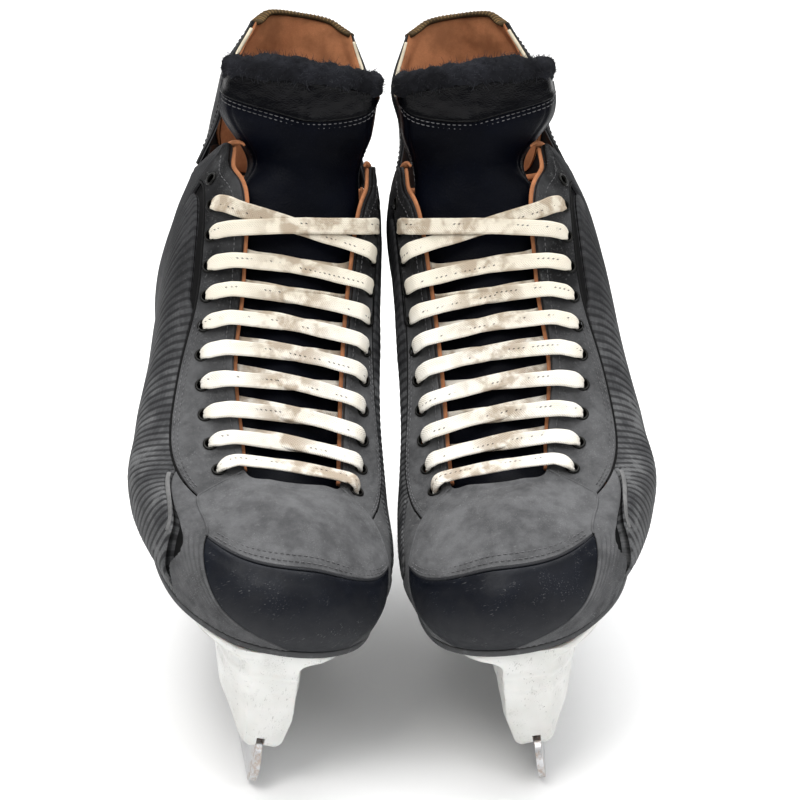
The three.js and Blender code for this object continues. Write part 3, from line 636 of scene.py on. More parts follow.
def ribbed():
    """The quarters' woven shell: dark between its moulded ribs, and rubbed grey along their tops."""
    f = Finish("ribbed quarter")
    weave = f.stretched(f.uv, (1, 1, 1), (0, 0, 0.78))
    threads = f.times(f.waves(0.7, weave, 0.4), f.waves(0.7, weave, 0.4, "Y"))
    run, height = f.axis(f.uv, 0), f.axis(f.uv, 1)
    crest = f.math("SINE", f.times(run, 2 * math.pi / RIB_PITCH))
    rub = f.span(f.noise(16, 5, 0.6), 0.36, 0.66)
    low = f.mix(rub, (0.05, 0.051, 0.054), (0.15, 0.152, 0.155))
    high = f.mix(rub, (0.018, 0.0185, 0.02), (0.042, 0.0425, 0.045))
    tone = f.mix(f.span(height, 140, 195), low, high)
    tone = f.mix(f.span(f.noise(1.4, 5, 0.7), 0.56, 0.75, 0, 0.4), tone, (0.16, 0.16, 0.16))
    valley = f.times(f.span(crest, -0.8, 0.3, 0.75, 0), f.span(rub, 0.75, 1, 1, 0.4))
    tone = f.mix(valley, tone, (0.008, 0.008, 0.009))
    tone = f.mix(f.span(threads, 0.0, 0.6, 0.25, 0.0), tone, (0.012, 0.012, 0.013))
    f.bump(threads, 0.08)
    f.bump(f.noise(0.5, 3), 0.05)
    return f.done(tone, f.span(rub, 0, 1, 0.62, 0.85), Specular_IOR_Level=0.15)


def cap_finish():
    """Smooth blue-black moulding with grey scuffs and scratches, painted lighter grey towards the sole as a
    reflection of the floor.
    """
    f = Finish("toe cap")
    height = f.axis(f.uv, 1)
    # low is the band near the sole where a reflection of the floor is painted as lighter grey; it is rougher there
    # too
    low = f.span(f.plus(height, f.times(f.noise(9, 4), 14)), 92, 116, 1, 0)
    tone = f.mix(f.span(f.noise(18, 4), 0.3, 0.7), (0.001, 0.0018, 0.0045), (0.0035, 0.005, 0.0095))
    tone = f.mix(f.times(low, 0.85), tone, (0.024, 0.025, 0.028))
    fine = f.noise(1.1, 6, 0.7)
    tone = f.mix(f.span(fine, 0.6, 0.76, 0, 0.3), tone, (0.1, 0.1, 0.105))
    scratch = f.times(f.marks(0.5, (0.2, 0.5, 0.35), 9), 0.3)
    tone = f.mix(scratch, tone, (0.2, 0.2, 0.2))
    f.bump(f.noise(0.6, 3), 0.035)
    f.bump(f.noise(7, 3), 0.3)
    f.bump(scratch, -0.05)
    gloss = f.plus(f.span(f.noise(6, 4), 0.3, 0.7, 0.36, 0.5), f.times(low, 0.2))
    return f.done(tone, gloss, Specular_IOR_Level=0.14)


def cloth(name, color, nap, roughness, lumps, contrast=0.35):
    """Suede, felt or foam: a soft nap over slow changes of tone."""
    f = Finish(name)
    fibre = f.noise(nap, 5, 0.75)
    slow = f.noise(17, 4, 0.6)
    dark, pale = tint(color, 1 - contrast), tint(color, 1 + contrast)
    tone = f.mix(f.span(slow, 0.33, 0.68), dark, pale)
    tone = f.mix(f.span(fibre, 0.35, 0.7, 0.35, 0), tone, tint(color, 0.5))
    f.bump(fibre, 0.2)
    f.bump(f.noise(4, 3), lumps)
    return f.done(tone, roughness, Specular_IOR_Level=0.15)


def holder_finish():
    """White moulded nylon, with grey scuffs and dark specks."""
    f = Finish("holder nylon")
    scuff = f.span(f.noise(6, 6, 0.7), 0.56, 0.74, 0, 0.5)
    tone = f.mix(f.span(f.noise(30, 3), 0.35, 0.7), (0.6, 0.6, 0.575), (0.72, 0.72, 0.7))
    tone = f.mix(scuff, tone, (0.42, 0.42, 0.4))
    scratch = f.math("MAXIMUM", f.marks(0.6, (0.3, 1.3, 0.2), 10), f.marks(0.5, (0.1, 0.2, 1.1), 8))
    tone = f.mix(f.times(scratch, 0.7), tone, (0.28, 0.28, 0.27))
    specks = f.times(f.span(f.cells(2.1), 0.0, 0.2, 1, 0), f.span(f.noise(12, 2), 0.54, 0.64))
    tone = f.mix(f.times(specks, 0.8), tone, (0.06, 0.055, 0.05))
    f.bump(scratch, -0.06)
    f.bump(f.noise(1.2, 4), 0.03)
    f.bump(f.noise(12, 2), 0.25)
    gloss = f.plus(f.span(f.noise(5, 4), 0.3, 0.7, 0.3, 0.42), scuff)
    return f.done(tone, gloss, Subsurface_Weight=0.05)


def steel_finish():
    """Ground steel: fine marks along the blade, with a little rust."""
    f = Finish("ground steel")
    lines = f.noise(0.4, 5, 0.7, f.stretched(f.uv, (0.05, 2.4, 1)))
    edge = f.span(f.axis(f.uv, 1), 2.5, 7, 1, 0)
    tone = f.mix(f.span(lines, 0.3, 0.7), (0.5, 0.505, 0.52), (0.68, 0.685, 0.7))
    tone = f.mix(f.times(edge, 0.4), tone, (0.8, 0.8, 0.81))
    end = f.span(f.axis(f.uv, 0), -134, -122, 1, 0)
    rust = f.times(f.span(f.noise(2.5, 6, 0.7), 0.42, 0.62), f.plus(f.times(end, 0.8), 0.12))
    tone = f.mix(f.times(rust, 0.7), tone, (0.36, 0.24, 0.15))
    f.bump(lines, 0.02)
    gloss = f.plus(f.span(lines, 0.3, 0.7, 0.24, 0.4), f.times(rust, 0.4))
    metal = f.math("SUBTRACT", 1.0, f.times(rust, 0.85))
    return f.done(tone, gloss, Metallic=metal)


def metal_finish(name, color, roughness):
    """Plated or painted metal, rubbed and spotted."""
    f = Finish(name)
    spots = f.span(f.noise(1.1, 5, 0.7), 0.52, 0.7)
    tone = f.mix(spots, color, tint(color, 0.55, 0.02))
    f.bump(f.noise(0.5, 3), 0.03)
    return f.done(tone, f.span(spots, 0, 1, roughness, roughness + 0.25), Metallic=1.0)


def plastic_finish(name, color, roughness=0.45):
    """Dark moulding, dusty and lightly rubbed."""
    f = Finish(name)
    dust = f.span(f.noise(5, 6, 0.7), 0.5, 0.75, 0, 0.5)
    tone = f.mix(dust, color, tint(color, 3, 0.005))
    f.bump(f.noise(0.7, 4), 0.05)
    return f.done(tone, f.span(dust, 0, 0.5, roughness, roughness + 0.25), Specular_IOR_Level=0.25)


def board_finish():
    """Fibre board, speckled."""
    f = Finish("fibre board")
    speckle = f.noise(0.7, 5, 0.7)
    tone = f.mix(f.span(speckle, 0.35, 0.68), (0.2, 0.15, 0.1), (0.4, 0.32, 0.22))
    f.bump(speckle, 0.08)
    return f.done(tone, 0.9)


def lace_finish():
    """A flat woven lace with short groups of dark tracer threads.

    It turns brown in patches where it crosses the tongue, far from its eyelet along its UVs.
    """
    f = Finish("lace weave")
    clean = (0.86, 0.83, 0.76)
    run, across_lace = f.axis(f.uv, 0), f.axis(f.uv, 1)
    height = f.axis(f.place, 2)
    fold = f.math("ABSOLUTE", across_lace)
    slant = f.new("ShaderNodeCombineXYZ", {0: f.plus(run, f.times(fold, 0.8)), 1: across_lace})
    plait = f.waves(1.1, slant, 0.3)
    rows = f.waves(0.9, slant, 0.2, "Y")
    weave = f.times(plait, f.span(rows, 0.1, 0.7, 0.55, 1))
    aged = [tuple(c * k for c, k in zip(clean, fade)) for fade in ((0.93, 0.9, 0.83), (0.88, 0.84, 0.76))]
    cream = f.mix(f.span(height, 165, 205), clean, aged[0])
    tone = f.mix(f.span(f.noise(9, 4, 0.6), 0.4, 0.7, 0, 0.6), cream, aged[1])
    far = f.times(f.span(run, 20, 40), f.span(f.noise(8, 3), 0.4, 0.6, 0.15, 1))
    tone = f.mix(f.times(far, 0.75), tone, (0.3, 0.21, 0.13))
    tone = f.mix(f.span(f.noise(3.5, 5, 0.7), 0.6, 0.75, 0, 0.4), tone, (0.36, 0.29, 0.2))
    tone = f.mix(f.span(weave, 0.05, 0.6, 0.22, 0), tone, (0.42, 0.37, 0.29))
    line = f.span(f.math("ABSOLUTE", f.plus(across_lace, -0.9)), 0.25, 0.4, 1, 0)
    groups = f.span(f.noise(7, 2), 0.52, 0.55)
    dash = f.times(f.times(f.span(f.waves(2.3, slant), 0.6, 0.75), line), groups)
    tone = f.mix(f.times(dash, 0.9), tone, (0.01, 0.01, 0.014))
    f.bump(weave, 0.2)
    f.bump(f.noise(0.3, 3), 0.06)
    return f.done(tone, 0.85, Specular_IOR_Level=0.2)


FINISH = {
    "cap": cap_finish(),
    "nubuck": nubuck("scuffed nubuck", low=(0.12, 0.121, 0.125), high=(0.06, 0.061, 0.064)),
    "side": nubuck("side nubuck", low=(0.115, 0.116, 0.12), high=(0.08, 0.081, 0.084)),
    "ribbed": ribbed(),
    "facing": nubuck(
        "facing nubuck", low=(0.1, 0.101, 0.104), high=(0.011, 0.0112, 0.012), levels=(150, 200),
    ),
    "edge": nubuck("rubbed edge", low=(0.19, 0.19, 0.19), high=(0.12, 0.12, 0.12)),
    "panel": leather("panel leather", (0.05, 0.051, 0.054), grain=0.55, roughness=0.62, worn=0.5),
    "tongue": leather(
        "tongue leather", (0.0012, 0.0018, 0.0045), grain=0.8, roughness=0.45, worn=0.03, shine=0.05,
    ),
    "gloss": leather(
        "glossy leather", (0.001, 0.0012, 0.002), grain=0.7, roughness=0.18, worn=0.05, shine=0.14,
    ),
    "guard": leather("guard leather", (0.009, 0.0095, 0.011), grain=0.6, roughness=0.5, worn=0.4, shine=0.25),
    "piping": leather("piping", (0.008, 0.008, 0.01), grain=0.5, roughness=0.55, worn=0.5, shine=0.25),
    "tan": cloth("tan suede", (0.45, 0.185, 0.085), nap=0.45, roughness=0.85, lumps=0.25, contrast=0.28),
    "binding": cloth("woven binding", (0.055, 0.034, 0.014), nap=0.35, roughness=0.8, lumps=0.1),
    "felt": cloth("grey felt", (0.011, 0.0115, 0.0145), nap=0.9, roughness=1.0, lumps=0.6, contrast=0.5),
    "fibre": cloth("felt fibres", (0.03, 0.031, 0.036), nap=0.6, roughness=1.0, lumps=0.2, contrast=0.6),
    "foam": cloth("foam", (0.12, 0.11, 0.1), nap=0.8, roughness=0.95, lumps=0.2),
    "cream": cloth("cream piping", (0.62, 0.55, 0.42), nap=0.4, roughness=0.8, lumps=0.1, contrast=0.2),
    "thread": cloth("dark thread", (0.03, 0.03, 0.031), nap=0.25, roughness=0.7, lumps=0.05),
    "grey_thread": cloth("grey thread", (0.14, 0.14, 0.145), nap=0.25, roughness=0.7, lumps=0.05),
    "gold_thread": cloth("gold thread", (0.2, 0.12, 0.045), nap=0.25, roughness=0.7, lumps=0.05),
    "composite": plastic_finish("composite sole", (0.055, 0.056, 0.058), roughness=0.7),
    # Near-black: the dark seam round the facing, and painted shade on the floors behind the side slot and the
    # recess.
    "groove": plastic_finish("dark seams and painted recess shade", (0.0012, 0.0012, 0.0014), roughness=0.9),
    "board": board_finish(),
    "holder": holder_finish(),
    "steel": steel_finish(),
    "zinc": metal_finish("zinc plate", (0.5, 0.5, 0.51), roughness=0.35),
    "eyelet": metal_finish("black eyelet", (0.02, 0.02, 0.019), roughness=0.4),
    "lace": lace_finish(),
}

# ---- Panels of the upper ----
# Places are ribs from the toe's middle and shares of the way up. 1 is the lateral side, -1 the medial.
CAP_TOP = 0.555
CAP_SIDES = {
    1: {"foot": 0.2, "corner": 1.62, "fall": 0.04},
    -1: {"foot": 0.75, "corner": 1.75, "fall": 0.115},
}
VAMP_EDGE = {1: 2.15, -1: 2}
VAMP_EDGE_FROM = 0.72
QUARTER_FRONT = {"low": 2.05, "high": 2.75, "from": 0.42, "to": 0.76}
FACING_FOOT = {"front": 0.7, "back": 0.855, "from": 2.3, "to": 5.3}
FACING_TOP = 6.3
RECESS = {"height": 0.03, "from": 4.7, "to": 5}
LINING_FRONT, LINING_TOP = 2, 0.68
SEAM_GAP = 0.005
SIDE_SLOT = {"width": 0.17, "seam": 0.012, "low": 0.22, "high": 0.54}  # ribs wide; its ends up the side
FACING_PROUD = 0.5
FLARE = {"depth": 3, "full": 2.9, "end": 3.8}
LINING = 1.2
PAD_FACE = SHELL + 1.8
THROAT_CUT = {"depth": 0.055, "at": 5.95, "width": 0.28}  # where the facing is cut away at the collar
EYELET_HOLE = 2.5
EYELET_PROFILE = [  # of radius and height, round the ring's section
    (2.3, -1.4), (2.3, 0.55), (2.6, 0.85), (3.1, 0.8), (3.45, 0.35), (3.4, 0.0), (2.6, -0.1), (2.6, -1.4),
]
EYELETS = {}  # by side, once they are placed


def cap_top(a):
    """The toe cap's top edge, which falls to each side."""
    falls = [side["fall"] * smooth(way * np.asarray(a), 0, side["corner"]) for way, side in CAP_SIDES.items()]
    return CAP_TOP - falls[0] - falls[1]


def corner_top(way):
    """How far up the side the toe cap's top corner lies."""
    return cap_top(way * CAP_SIDES[way]["corner"])


def front_edge(v, way):
    """The side edge of the toe cap, from near the toe's centre on the sole, and of the vamp above it."""
    side = CAP_SIDES[way]
    top = corner_top(way)
    cap_edge = mix(side["foot"], side["corner"], 1 - (1 - np.clip(v / top, 0, 1)) ** 1.8)
    return cap_edge + (VAMP_EDGE[way] - side["corner"]) * smooth(v, top, VAMP_EDGE_FROM)


def quarter_front(v):
    q = QUARTER_FRONT
    return mix(q["low"], q["high"], smooth(v, q["from"], q["to"]))


def slot_width(v):
    """Between the side panel and the quarter: a seam that opens into a slot above the sole."""
    middle = (SIDE_SLOT["low"] + SIDE_SLOT["high"]) / 2
    opened = smooth(v, SIDE_SLOT["low"], middle) * (1 - smooth(v, middle, SIDE_SLOT["high"]))
    return SIDE_SLOT["seam"] + SIDE_SLOT["width"] * opened


def facing_foot(a):
    f = FACING_FOOT
    return mix(f["front"], f["back"], smooth(np.abs(a), f["from"], f["to"]))


def quarter_top(a):
    """The quarter's top edge: under the facing, with a recess at its back, and the collar behind it."""
    recess = RECESS["height"] * smooth(np.abs(a), RECESS["from"], RECESS["to"])
    behind = smooth(np.abs(a), FACING_TOP - 0.05, FACING_TOP + 0.11)
    return mix(facing_foot(a) - SEAM_GAP - recess, 1, behind)


def creases(u, v, points):
    """Slow lumps and handling creases of used leather."""
    return 0.3 * noise(points, 16) + 0.16 * noise(points, 6)


def cap_relief(u, v, points):
    below_seam = cap_top(u) - v
    ledge = -0.35 * bell(below_seam, 0.05, 0.012)
    return 0.35 * noise(points, 22) + 0.1 * noise(points, 7) + ledge


def vamp_relief(u, v, points):
    height = (v - cap_top(u)) / (1 - cap_top(u))
    edge = np.where(u > 0, front_edge(v, 1), front_edge(v, -1))
    inner = np.minimum(height * 55, (edge - np.abs(u)) * RIB_SPACING)  # mm in from the front and side edges
    welt = -0.35 * bell(inner, 2.6, 0.5) - 0.25 * bell(inner, 8.5, 0.8)
    fold = -0.5 * bell(height, 0.93, 0.03)
    scratch = -0.35 * bell((points[..., 0] + points[..., 1]) * 0.7, -56, 0.5)
    scratch = scratch * smooth(points[..., 0], 22, 25) * (1 - smooth(points[..., 0], 31, 34))
    return creases(u, v, points) + welt + fold + scratch


def side_relief(way):
    """Fine raised ridges beside the toe cap, that run down to the sole; wrinkles on the medial side."""

    def relief(u, v, points):
        beside = (np.abs(u) - front_edge(v, way)) * RIB_SPACING
        if way < 0:
            return 0.2 * noise(points, 12) + 0.9 * noise(points * (1, 1, 0.5), 9) * smooth(beside, 2, 8)
        ridges = 0.6 * (0.5 - 0.5 * np.cos(beside * 2 * math.pi / 3.1)) * smooth(beside, 0.6, 1.6)
        return ridges * (1 - smooth(v, 0.42, 0.5)) + 0.25 * noise(points, 12)

    return relief


def rib_place(u, v, points):
    """Where a point lies across the moulded ribs, and its height. They lean forwards near the toe."""
    a = np.abs(u)
    lean = 0.9 * (1 - smooth(a, 2.4, 6.6))
    return np.stack([(a + lean * v) * RIB_SPACING, points[..., 2]], -1)


def quarter_relief(u, v, points):
    """Moulded diagonal ribs, which fade where the panel is rubbed, inside a smooth band along its edges."""
    rib = 0.5 + 0.5 * np.sin(rib_place(u, v, points)[..., 0] * 2 * math.pi / RIB_PITCH)
    worn = smooth(noise(points, 24), -0.35, 0.25)
    front = (np.abs(u) - quarter_front(v)) * RIB_SPACING
    from_edge = np.minimum(front, (quarter_top(u) - v) * RIB_HEIGHT)
    groove = -0.8 * bell(front, 3.2, 0.5) * smooth(v, 0.45, 0.55)
    inside_band = smooth(from_edge, 3.5, 5) * smooth(v, 0.03, 0.1)
    return 0.42 * rib * inside_band * (0.35 + 0.65 * worn) + groove + 0.5 * noise(points, 30)


def flare(a, v):
    """The lateral quarter's front end stands proud of the panel in front of it."""
    forward = 1 - smooth(np.abs(a), FLARE["full"], FLARE["end"])
    return -FLARE["depth"] * forward * smooth(v, 0.02, 0.25) * (1 - smooth(v, 0.45, 0.75))


def toe_cap_piece():
    def patch(s, t):
        edge = [way * (front_edge(t * corner_top(way), way) - SEAM_GAP) for way in (-1, 1)]
        a = mix(*edge, s)
        return a, (cap_top(a) - SEAM_GAP) * t

    cap = shell(upper, patch, 0, SHELL, (140, 45), step=1.6, roll=0.8, relief=cap_relief)
    add("toe_cap", [cap], "cap", replaces=["toe_cap"])


def vamp_piece():
    def patch(s, t):
        heights = {way: mix(corner_top(way) + SEAM_GAP, 1, t) for way in (-1, 1)}
        edge = [way * (front_edge(v, way) - SEAM_GAP) for way, v in heights.items()]
        a = mix(*edge, s)
        return a, mix(cap_top(a) + SEAM_GAP, 1, t)

    vamp = shell(upper, patch, -0.3, SHELL, (110, 55), step=1.1, roll=0.5, relief=vamp_relief)
    add("vamp", [vamp], "nubuck", replaces=["vamp"])


def vamp_trim():
    """Two rows of stitches behind the toe cap, and what fills the vamp's seams."""
    rows = []
    for inset in (0.018, 0.04):
        def behind_cap(t, inset=inset):
            return t, cap_top(t) + SEAM_GAP + inset
        rows += stitches(*seam(upper, -1.7, 1.56, behind_cap, lift=0.2), radius=0.2)
    add("vamp_stitching", rows, "grey_thread")
    path, normals = seam(upper, -1.72, 1.6, lambda t: (t, cap_top(t)), lift=-0.3)
    add("cap_seam_filler", [sweep(path, normals, ring(10, 0.6, 0.5))], "cap")
    fillers = []
    for way in (-1, 1):
        def vamp_side(t, way=way):
            return way * front_edge(t, way), t
        path, normals = seam(upper, corner_top(way), 0.99, vamp_side, lift=0.15)
        fillers.append(sweep(path, normals, ring(10, 0.6, 0.45)))
    add("vamp_seam_filler", fillers, "nubuck")


def side_panel_pieces(side, way, turned):
    def front_panel(s, t):
        v = FACING_FOOT["front"] * t
        a = mix(front_edge(v, way) + SEAM_GAP, quarter_front(v) - slot_width(v), turned(s))
        return way * a, (facing_foot(a) - SEAM_GAP) * t

    def slot_floor(s, t):
        v = mix(0.01, FACING_FOOT["front"] - 0.01, t)
        return way * (quarter_front(v) + mix(-0.3, 0.2, turned(s))), v

    def recess_floor(s, t):
        a = mix(RECESS["from"] - 0.2, FACING_TOP + 0.1, turned(s))
        foot = facing_foot(a)
        return way * a, mix(foot - 0.07, foot + 0.03, t)

    panel = shell(upper, front_panel, 0, SHELL, (45, 80), step=0.75, roll=0.6, relief=side_relief(way))
    finish = "side" if way > 0 else "facing"
    add(f"side_panel_{side}", [panel], finish, replaces=[f"side_panel_{side}"])
    # The floors behind the slot and the recess are near-black: painted shade in these recesses.
    behind = (SHELL + 0.1, SHELL + 1)
    floors = [
        shell(upper, slot_floor, *behind, (20, 75), 3),
        shell(upper, recess_floor, *behind, (60, 12), 3),
    ]
    add(f"side_underlay_{side}", floors, "groove")


def rubbed_edge():
    """The pale front end of the lateral quarter."""
    path, normals = seam(upper, 0.4, 0.66, lambda t: (quarter_front(t) + 0.04, t), lift=FLARE["depth"] * 0.5)
    rise = FLARE["depth"] * (0.5 - smooth(path[:, 2], 110, 135) * 0.5)
    edge = sweep(path + normals * (rise - 0.1)[:, None], normals, ring(12, 1.1, 0.4))
    add("quarter_rubbed_edge", [edge], "edge")


def quarter_pieces(side, way, turned):
    def quarter(s, t):
        a = mix(quarter_front(FACING_FOOT["front"] * t), HEEL - SEAM_GAP, turned(s))
        return way * a, quarter_top(a) * t

    if way > 0:
        rubbed_edge()
    near = flare if way > 0 else 0
    cover = shell(upper, quarter, near, SHELL, (235, 110), step=0.62, roll=1.3,
                  relief=quarter_relief, uv=rib_place)
    add(f"quarter_{side}", [cover], "ribbed", replaces=[f"quarter_{side}"])


def ankle_pad_piece(side, way, turned):
    def pad(s, t):
        return way * mix(6.35, 8.6, turned(s)), mix(0.3, 0.9, t)

    def far(u, v):
        return PAD_FACE + padding(u, v)

    foam = shell(upper, pad, PAD_FACE, far, (85, 70), step=2.5, roll=1.2)
    pads = add(f"ankle_pad_{side}", [foam], "foam", replaces=[f"ankle_pad_{side}"])


def side_pieces(side):
    way = 1 if side == "lateral" else -1

    def turned(s):
        return s if way > 0 else 1 - s

    side_panel_pieces(side, way, turned)
    quarter_pieces(side, way, turned)
    ankle_pad_piece(side, way, turned)
    facing_pieces(side, way, turned)
    facing_trim(side, way)


def throat(a):
    """The facing's edge along the throat."""
    return 1 - THROAT_CUT["depth"] * bell(np.abs(a), THROAT_CUT["at"], THROAT_CUT["width"])


def facing_relief(side):
    """Hollows round the eyelets, and fine cracks and a fold along the foot."""

    def relief(u, v, points):
        pulled = np.zeros(np.shape(u))
        for _, at, _ in eyelets(side):
            pulled = pulled - 0.5 * bell(np.linalg.norm(points - at, axis=-1), 0, 5)
        cracks = -0.35 * smooth(noise(points * (1, 1, 2.5), 5), 0.25, 0.5)
        from_foot = (v - facing_foot(u)) * RIB_HEIGHT
        fold = -0.45 * bell(np.abs(u), 3.3 + 0.02 * from_foot, 0.03) * (1 - smooth(from_foot, 12, 15))
        return 0.35 * noise(points, 11) + pulled + cracks * smooth(from_foot, 4, 8) + fold

    return relief


def facing_pieces(side, way, turned):
    def facing(s, t):
        a = mix(VAMP_EDGE[way] + SEAM_GAP, FACING_TOP, turned(s))
        return way * a, mix(facing_foot(a) + SEAM_GAP, throat(a), t)

    whole = shell(upper, facing, -FACING_PROUD, SHELL, (185, 30), step=0.9, roll=0.9,
                  relief=facing_relief(side))
    holes = [rod_part(at, out, EYELET_HOLE, 14) for _, at, out in eyelets(side)]
    pierced = boolean("DIFFERENCE", whole, *holes)
    add(f"facing_{side}", [pierced], "facing", replaces=[f"facing_{side}"])
    rings = [lathe(at + out * (FACING_PROUD - 0.45), out, EYELET_PROFILE) for _, at, out in eyelets(side)]
    add(f"eyelets_{side}", rings, "eyelet")


def facing_trim(side, way):
    """The facing's stitching, the groove round it and the lining's edge along the throat."""
    rows = []
    for above_foot in (0.02, 0.038):
        def line(t, above_foot=above_foot):
            return way * t, facing_foot(t) + above_foot
        rows += stitches(*seam(upper, VAMP_EDGE[way] + 0.1, 4.6, line, lift=FACING_PROUD + 0.05), radius=0.2)
    edge_path = seam(upper, way * 2.3, way * 6.2, lambda t: (t, throat(t) - 0.028), lift=FACING_PROUD + 0.05)
    rows += stitches(*edge_path, radius=0.2)
    add(f"facing_stitching_{side}", rows, "grey_thread")

    def outline(t):
        up_the_back = mix(facing_foot(FACING_TOP), 0.985, np.clip(t - FACING_TOP, 0, 0.9) / 0.9)
        v = np.where(t < FACING_TOP, facing_foot(t), up_the_back)
        return way * np.minimum(t, FACING_TOP + SEAM_GAP), v

    path, normals = seam(upper, VAMP_EDGE[way] + 0.3, FACING_TOP + 0.9, outline, lift=-0.3)
    add(f"facing_seam_{side}", [sweep(path, normals, ring(10, 0.6, 0.5))], "groove")
    path, normals = seam(upper, way * 2.3, way * 6.2, lambda t: (t, throat(t) + 0.001), lift=-SHELL - 1.0)
    add(f"throat_lining_{side}", [sweep(path, normals, ring(12, 1.5, 0.9))], "tan")


def padding(a, v):
    """How thick the foam is: thickest round the ankle."""
    far = np.minimum(np.abs(a), RIB_COUNT - np.abs(a))
    round_ankle = smooth(far, 6.1, 7) * (1 - smooth(far, 8, 8.9))
    return 0.8 + 5 * round_ankle * smooth(v, 0.2, 0.5) * (1 - smooth(v, 0.75, 0.98))


def lathe(middle, axis, profile, sides=28):
    """A closed ring of a profile of (radius, height) turned about an axis."""
    axis = unit(np.asarray(axis, float))
    side = unit(np.cross(axis, (0, 1, 0.1)))
    other = np.cross(axis, side)
    angle = np.arange(sides) * 2 * math.pi / sides
    radial = np.cos(angle)[:, None] * side + np.sin(angle)[:, None] * other
    profile = np.asarray(profile, float)
    rings = middle + radial[:, None] * profile[None, :, :1] + axis * profile[None, :, 1:]
    k = len(profile)
    faces = [tuple(int(q) % (sides * k) for q in face) for face in grid_faces(sides + 1, k, closed=True)]
    return outwards(rings, faces, None)


def eyelets(side):
    """Each eyelet of one side from the top one down: its rib, its place and the way it faces."""
    if side not in EYELETS:
        way, start, end = (1, 6, 2.45) if side == "lateral" else (-1, 6, 2.32)
        ribs = way * np.linspace(start, end, 61)
        points = skin(ribs, EYELET_V)
        run = distances(points)
        at = np.interp(np.linspace(0, run[-1], EYELET_ROWS), run, ribs)
        EYELETS[side] = list(zip(at, skin(at, EYELET_V), normal_of(skin, at, EYELET_V)))
    return EYELETS[side]


def lining_piece():
    def top(a):
        far = np.minimum(a, RIB_COUNT - a)
        return mix(LINING_TOP, 0.985, smooth(far, FACING_TOP - 0.2, FACING_TOP + 0.5))

    def patch(s, t):
        a = mix(LINING_FRONT, RIB_COUNT - LINING_FRONT, s)
        return a, mix(0.06, top(a), t)

    def near(u, v):
        return PAD_FACE + 5 * GAP + padding(u, v)

    def far(u, v):
        return near(u, v) + LINING

    def wrinkles(u, v, points):
        return 0.35 * noise(points, 10) + 0.3 * noise(points * (1, 1, 0.4), 5)

    lining = shell(upper, patch, near, far, (420, 130), step=2.4, roll=0.5, relief=wrinkles)
    add("lining", [lining], "tan", replaces=["lining"])


def collar_binding_piece():
    path, _ = seam(upper, 6.05, RIB_COUNT - 6.05, level_line(0.995), lift=-3.6)
    fall = 1 - 0.7 * smooth(np.abs(np.linspace(-1, 1, len(path))), 0.9, 1)
    upright = np.tile([0, 0, 1.0], (len(path), 1))
    roll = sweep(path, upright, ring(14, 1.9), np.stack([fall, fall], -1))
    add("collar_binding", [roll], "tan")


def backstay_pieces():
    def patch(s, t):
        return mix(HEEL - 0.5, HEEL + 0.5, s), mix(0.02, 0.97, t)

    strip = shell(upper, patch, -2, -0.6, (34, 125), step=1.5, roll=1.0, relief=creases)
    add("backstay", [strip], "panel", replaces=["backstay"])
    rows = []
    for a in (HEEL - 0.43, HEEL + 0.43):
        rows += stitches(*seam(upper, 0.05, 0.94, up_line(a), lift=2.05))
    add("backstay_stitching", rows, "thread")


# ---- Sole ----
def sole_ring(depth, height, count=180):
    points = upper(np.arange(count) * RIB_COUNT / count, 0, depth)
    return np.stack([points[:, 0], points[:, 1], sole_z(points[:, 1]) + height], -1)


def rounded_slab(depth, low, high, roll):
    """A slab with the boot's outline at the sole, that far inside it, with rounded edges."""
    arc = [(roll * (1 - math.sin(x)), roll * (1 - math.cos(x))) for x in np.linspace(0, math.pi / 2, 5)]
    rows = [(depth + inset, low + lift) for inset, lift in arc]
    rows += [(depth + inset, high - lift) for inset, lift in reversed(arc)]
    return loft([sole_ring(*row) for row in rows])


def sole_pieces():
    outsole = rounded_slab(0.3, -OUTSOLE, -GAP, 0.9)
    add("outsole", [outsole], "composite", replaces=["outsole"])
    board = rounded_slab(SHELL + 1.4, 0, 2, 0.4)
    add("insole_board", [board], "board", replaces=["insole_board"])
    edge = PAD_FACE + 5 * GAP + LINING + 1.5
    rows = [(edge, 2 + GAP), (edge - 0.4, 3.4), (edge, 4.9), (edge + 3, 4.3)]
    footbed = loft([sole_ring(*row) for row in rows])
    for piece in add("footbed", [footbed], "felt", replaces=["footbed"]).values():
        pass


# ---- Tendon guard ----
GUARD_FRONT = 7.4
GUARD_RIBS = np.array([
    [(37, 97, 246), (36, 102, 270), (25, 120, 291)],
    [(35, 116, 246), (31, 119, 271), (17, 130, 295)],
    [(0, 138, 245), (0, 139, 270), (0, 135, 296)],
    [(-34, 116, 246), (-31, 119, 271), (-17, 130, 295)],
    [(-36, 97, 246), (-38, 102, 270), (-28, 120, 291)],
], float)
GUARD_SHELL, GUARD_LINING = 2.2, 3.2
GUARD_HINGE = to_skate(joints["left_guard_hinge"]["pos_m"])


@flat
def guard_skin(u, v):
    """The guard's outside: u counts its ribs round the back from the lateral front edge, and v runs up it."""
    at = np.clip(u, 0, 4)
    base = skin(mix(GUARD_FRONT, RIB_COUNT - GUARD_FRONT, at / 4), 1) + (0, 0, 2)
    return across(np.concatenate([base[:, None], curve(GUARD_RIBS, at / 4)], axis=1), v)


guard = inside(guard_skin, 0, 4)
GUARD_BEND = (
    "skate", "tendon_guard",
    (0, GUARD_HINGE[1], GUARD_HINGE[2] - 2),
    (0, GUARD_HINGE[1], GUARD_HINGE[2] + 42),
)
GUARD_SIZE = (200, 75)


def guard_shell_piece():
    def whole(s, t):
        return 4 * s, t

    def dents(u, v, points):
        return 0.4 * noise(points, 18) + 0.15 * noise(points, 6)

    outer = shell(guard, whole, 0, GUARD_SHELL, GUARD_SIZE, step=1.6, roll=1.1, relief=dents)
    add("tendon_guard", [outer], "guard", body=GUARD_BEND, replaces=["tendon_guard"])


